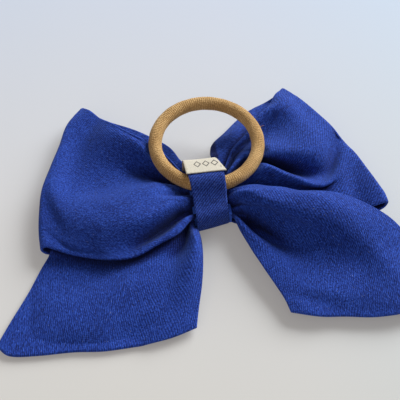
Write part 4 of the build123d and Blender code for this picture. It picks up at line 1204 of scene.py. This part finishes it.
def label_stitches(name, rows=(7, 30), inset=0.9, half_length=0.75, rings=7, sides=8):
    """Four short tacks, each a small round-ended thread lying on the label."""
    tacks = []
    for side in (-1, 1):
        for row in rows:
            y, z = label_line[row]
            left, right = label_half_widths(0, y, z)
            x = -(left - inset) if side < 0 else right - inset
            dy, dz = unit(label_line[row + 1] - label_line[row - 1])
            up = np.array([0, -dz, dy])
            if up[2] < 0 and z > 12:
                up = -up
            reach = np.array([0, dy, dz]) * half_length
            centre = np.array([x, y, z])
            tacks.append((centre - reach, centre + reach, up))
    verts, faces = [], []
    for start, end, up in tacks:
        faces += tube_faces(len(verts), rings, sides)
        along = end - start
        side = unit(np.cross(along, up))
        for i in range(rings):
            t = i / (rings - 1)
            centre = start + along * t + up * (0.16 * math.sin(math.pi * t) - 0.05)
            bulge = math.sin(math.pi * min(max(t, 0.12), 0.88))
            verts += ring(centre, 0.13 * (0.45 + 0.55 * bulge), side, up, sides)
    ob = clean(new_object(name, verts, faces))
    return finish_piece(ob, CREAM_THREAD, "knot", ("label_stitches",))


def fuzz_halo(name, count=420):
    """Very short stray fibres standing off the knit."""
    draw = np.random.default_rng(11)
    verts, faces = [], []
    for _ in range(count):
        angle = draw.uniform(-58, 232)
        root, radial, out = on_cord(angle, draw.uniform(0, 360))
        if abs(np.dot(radial, out)) < 0.95:
            tangent = unit(np.cross(radial, out))
        else:
            tangent = unit(np.cross(out, (0.1, 0.2, 1.0)))
        lean = tangent * draw.normal(0, 0.7) + draw.normal(0, 0.25, 3)
        length = draw.uniform(0.2, 0.55)
        faces += tube_faces(len(verts), rings=4, sides=3)
        side = unit(np.cross(out, lean + 0.01))
        other = np.cross(out, side)
        for t in (0.0, 0.4, 0.75, 1.0):
            centre = root - out * 0.12 + length * (out * t + lean * t * t)
            verts += ring(centre, 0.042 * (1 - 0.6 * t), side, other, sides=3)
    return finish_piece(new_object(name, verts, faces), KNIT, "tie_sheath")


def loose_fibre(name, angle, around, offsets, radius=0.09, rings=16, sides=6):
    """A single loose thread; offsets are (along the normal, away from the tie's centre)."""
    root, radial, out = on_cord(angle, around)
    line = catmull([root + out * lift + radial * away for lift, away in offsets], rings)
    verts = []
    for i, p in enumerate(line):
        t = unit(line[min(i + 1, rings - 1)] - line[max(i - 1, 0)])
        a = unit(np.cross(t, (0.3, 0.5, 0.8)))
        verts += ring(p, radius * (1 - 0.5 * i / (rings - 1)), a, np.cross(t, a), sides)
    ob = new_object(name, verts, tube_faces(0, rings, sides))
    return finish_piece(ob, KNIT, "tie_sheath")


label_stitches("label_tack_stitches")
fuzz_halo("tie_fuzz")
loose_fibre("tie_loose_fibre_a", angle=12, around=20,
            offsets=[(-0.3, 0), (0.35, 0.3), (0.5, 1.0), (0.2, 1.5)])
loose_fibre("tie_loose_fibre_b", angle=238, around=60,
            offsets=[(-0.3, 0), (0.3, 0), (0.6, 0.7), (0.5, 1.3)])

# ------------------------------------------------------------------ CAD pieces that stay
CAD_MATERIALS = {
    "knot_front_layer": CLOTH,
    "knot_middle_layer": CLOTH,
    "knot_back_layer": CLOTH,
    "gathering_thread": BLUE_THREAD,
    "gathering_thread_knot": BLUE_THREAD,
    "glue_pad": GLUE,
    "hair_tie_core": RUBBER,
}
for name, material in CAD_MATERIALS.items():
    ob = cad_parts[name]
    if len(ob.material_slots) == 0:
        ob.data.materials.append(material)
    else:
        for slot in ob.material_slots:
            slot.material = material

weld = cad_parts["gathering_thread_knot"].modifiers.new("weld", "WELD")
weld.merge_threshold = 0.00001


# ------------------------------------------------------------------ table
def table_material():
    """Pale table, see-through from below, whose colour carries painted light: warmer towards
    -y, cooler and darker towards +y and +x.
    """
    material, g, bsdf = new_material("pale_table", (0.74, 0.75, 0.77), roughness=0.55)
    x, y = g.split(g.node("ShaderNodeTexCoord").outputs["Object"])
    along_y = g.add(g.mul(y, 3.0), 0.5)
    along_x = g.add(g.mul(x, 4.5), 0.5)
    # painted light: the table's colour falls off and cools towards +x and +y and warms towards
    # -y, as the window light does
    x_painted_light = g.ramp(along_x, [(0.3, WHITE), (0.6, (0.96, 0.975, 1.0)),
                              (1.0, (0.80, 0.91, 0.99))])
    y_painted_light = g.ramp(along_y, [(0.1, (0.490, 0.470, 0.420)), (0.5, (0.510, 0.502, 0.500)),
                              (0.95, (0.440, 0.492, 0.590))])
    g.plug_all(bsdf, {
        "Specular IOR Level": 0.25,
        # the table glows faintly warm: painted light that lifts the shadows on it and lights
        # the bow a little from below
        "Emission Color": (1.0, 0.95, 0.87, 1),
        "Emission Strength": 0.185,
        "Base Color": g.mix(1.0, y_painted_light, x_painted_light, blend_type="MULTIPLY"),
    })
    facing = g.node("ShaderNodeNewGeometry")
    clear = g.node("ShaderNodeBsdfTransparent")
    sides = g.node("ShaderNodeMixShader")
    g.plug(facing.outputs["Backfacing"], sides.inputs[0])
    g.plug(bsdf.outputs[0], sides.inputs[1])
    g.plug(clear.outputs[0], sides.inputs[2])
    g.plug(sides.outputs[0], g.tree.nodes["Material Output"].inputs["Surface"])
    return material


def sinking_table():
    """Node group: the table stays at zero while the bow rests on it, and sinks when a
    loop or a tail is bent down past it."""
    group = bpy.data.node_groups.new("table_under_bow", "GeometryNodeTree")
    for way in ("INPUT", "OUTPUT"):
        group.interface.new_socket("Geometry", in_out=way, socket_type="NodeSocketGeometry")
    g = Graph(group)
    group_in, group_out = g.node("NodeGroupInput"), g.node("NodeGroupOutput")
    joined = g.node("GeometryNodeJoinGeometry")
    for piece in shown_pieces():
        info = g.node("GeometryNodeObjectInfo", transform_space="RELATIVE")
        info.inputs["Object"].default_value = piece
        g.plug(info.outputs["Geometry"], joined.inputs[0])
    box = g.node("GeometryNodeBoundBox")
    g.plug(joined.outputs[0], box.inputs[0])
    lowest = g.node("ShaderNodeSeparateXYZ")
    g.plug(box.outputs["Min"], lowest.inputs[0])
    below = g.math("MINIMUM", g.sub(lowest.outputs["Z"], 0.0006), 0.0)
    drop = g.node("ShaderNodeCombineXYZ")
    g.plug(below, drop.inputs["Z"])
    move = g.node("GeometryNodeSetPosition")
    g.plug_all(move, {"Geometry": group_in.outputs[0], "Offset": drop.outputs[0]})
    g.plug(move.outputs[0], group_out.inputs[0])
    return group


mesh = bpy.data.meshes.new("floor")
mesh.from_pydata([(-1.6, -1.4, 0), (1.6, -1.4, 0), (1.6, 1.8, 0), (-1.6, 1.8, 0)], [],
                 [(0, 1, 2, 3)])
floor = bpy.data.objects.new("floor", mesh)
bpy.context.scene.collection.objects.link(floor)
floor.data.materials.append(table_material())
floor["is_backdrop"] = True
floor.modifiers.new("table_under_bow", "NODES").node_group = sinking_table()


# ------------------------------------------------------------------ light and camera
def area(name, at, size, power, colour):
    """A rectangular light aimed at the origin."""
    light = bpy.data.lights.new(name, "AREA")
    light.shape = "RECTANGLE"
    light.size, light.size_y = size
    light.energy = power
    light.color = colour
    ob = bpy.data.objects.new(name, light)
    bpy.context.scene.collection.objects.link(ob)
    ob.location = at
    ob.rotation_euler = (-Vector(at)).to_track_quat("-Z", "Y").to_euler()
    ob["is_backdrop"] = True


def add_camera(location, azimuth, elevation, lens):
    """A camera looking down from the -y side; angles in degrees, lens in mm."""
    data = bpy.data.cameras.new("camera")
    data.sensor_width = 36.0
    data.lens = lens
    data.clip_start, data.clip_end = 0.01, 10
    ob = bpy.data.objects.new("camera", data)
    bpy.context.scene.collection.objects.link(ob)
    az, el = math.radians(azimuth), math.radians(elevation)
    back = Vector((math.sin(az) * math.cos(el), -math.cos(az) * math.cos(el), math.sin(el)))
    ob.location = location
    ob.rotation_euler = back.to_track_quat("Z", "Y").to_euler()
    bpy.context.scene.camera = ob


world = bpy.data.worlds.new("soft_room")
bpy.context.scene.world = world
world.use_nodes = True
background = world.node_tree.nodes["Background"]
background.inputs["Color"].default_value = (0.80, 0.86, 1.0, 1)
background.inputs["Strength"].default_value = 0.24

area("window", at=(1.62, 1.50, 1.26), size=(2.1, 1.6), power=108.0, colour=(0.95, 0.98, 1.0))
area("fill", at=(-0.45, -0.75, 0.75), size=(1.1, 1.1), power=3.0, colour=(1.0, 0.84, 0.66))
add_camera(location=(-0.03957, -0.25478, 0.31135), azimuth=-8.0, elevation=50.0, lens=89.1)
bpy.context.scene.view_settings.view_transform = "Standard"
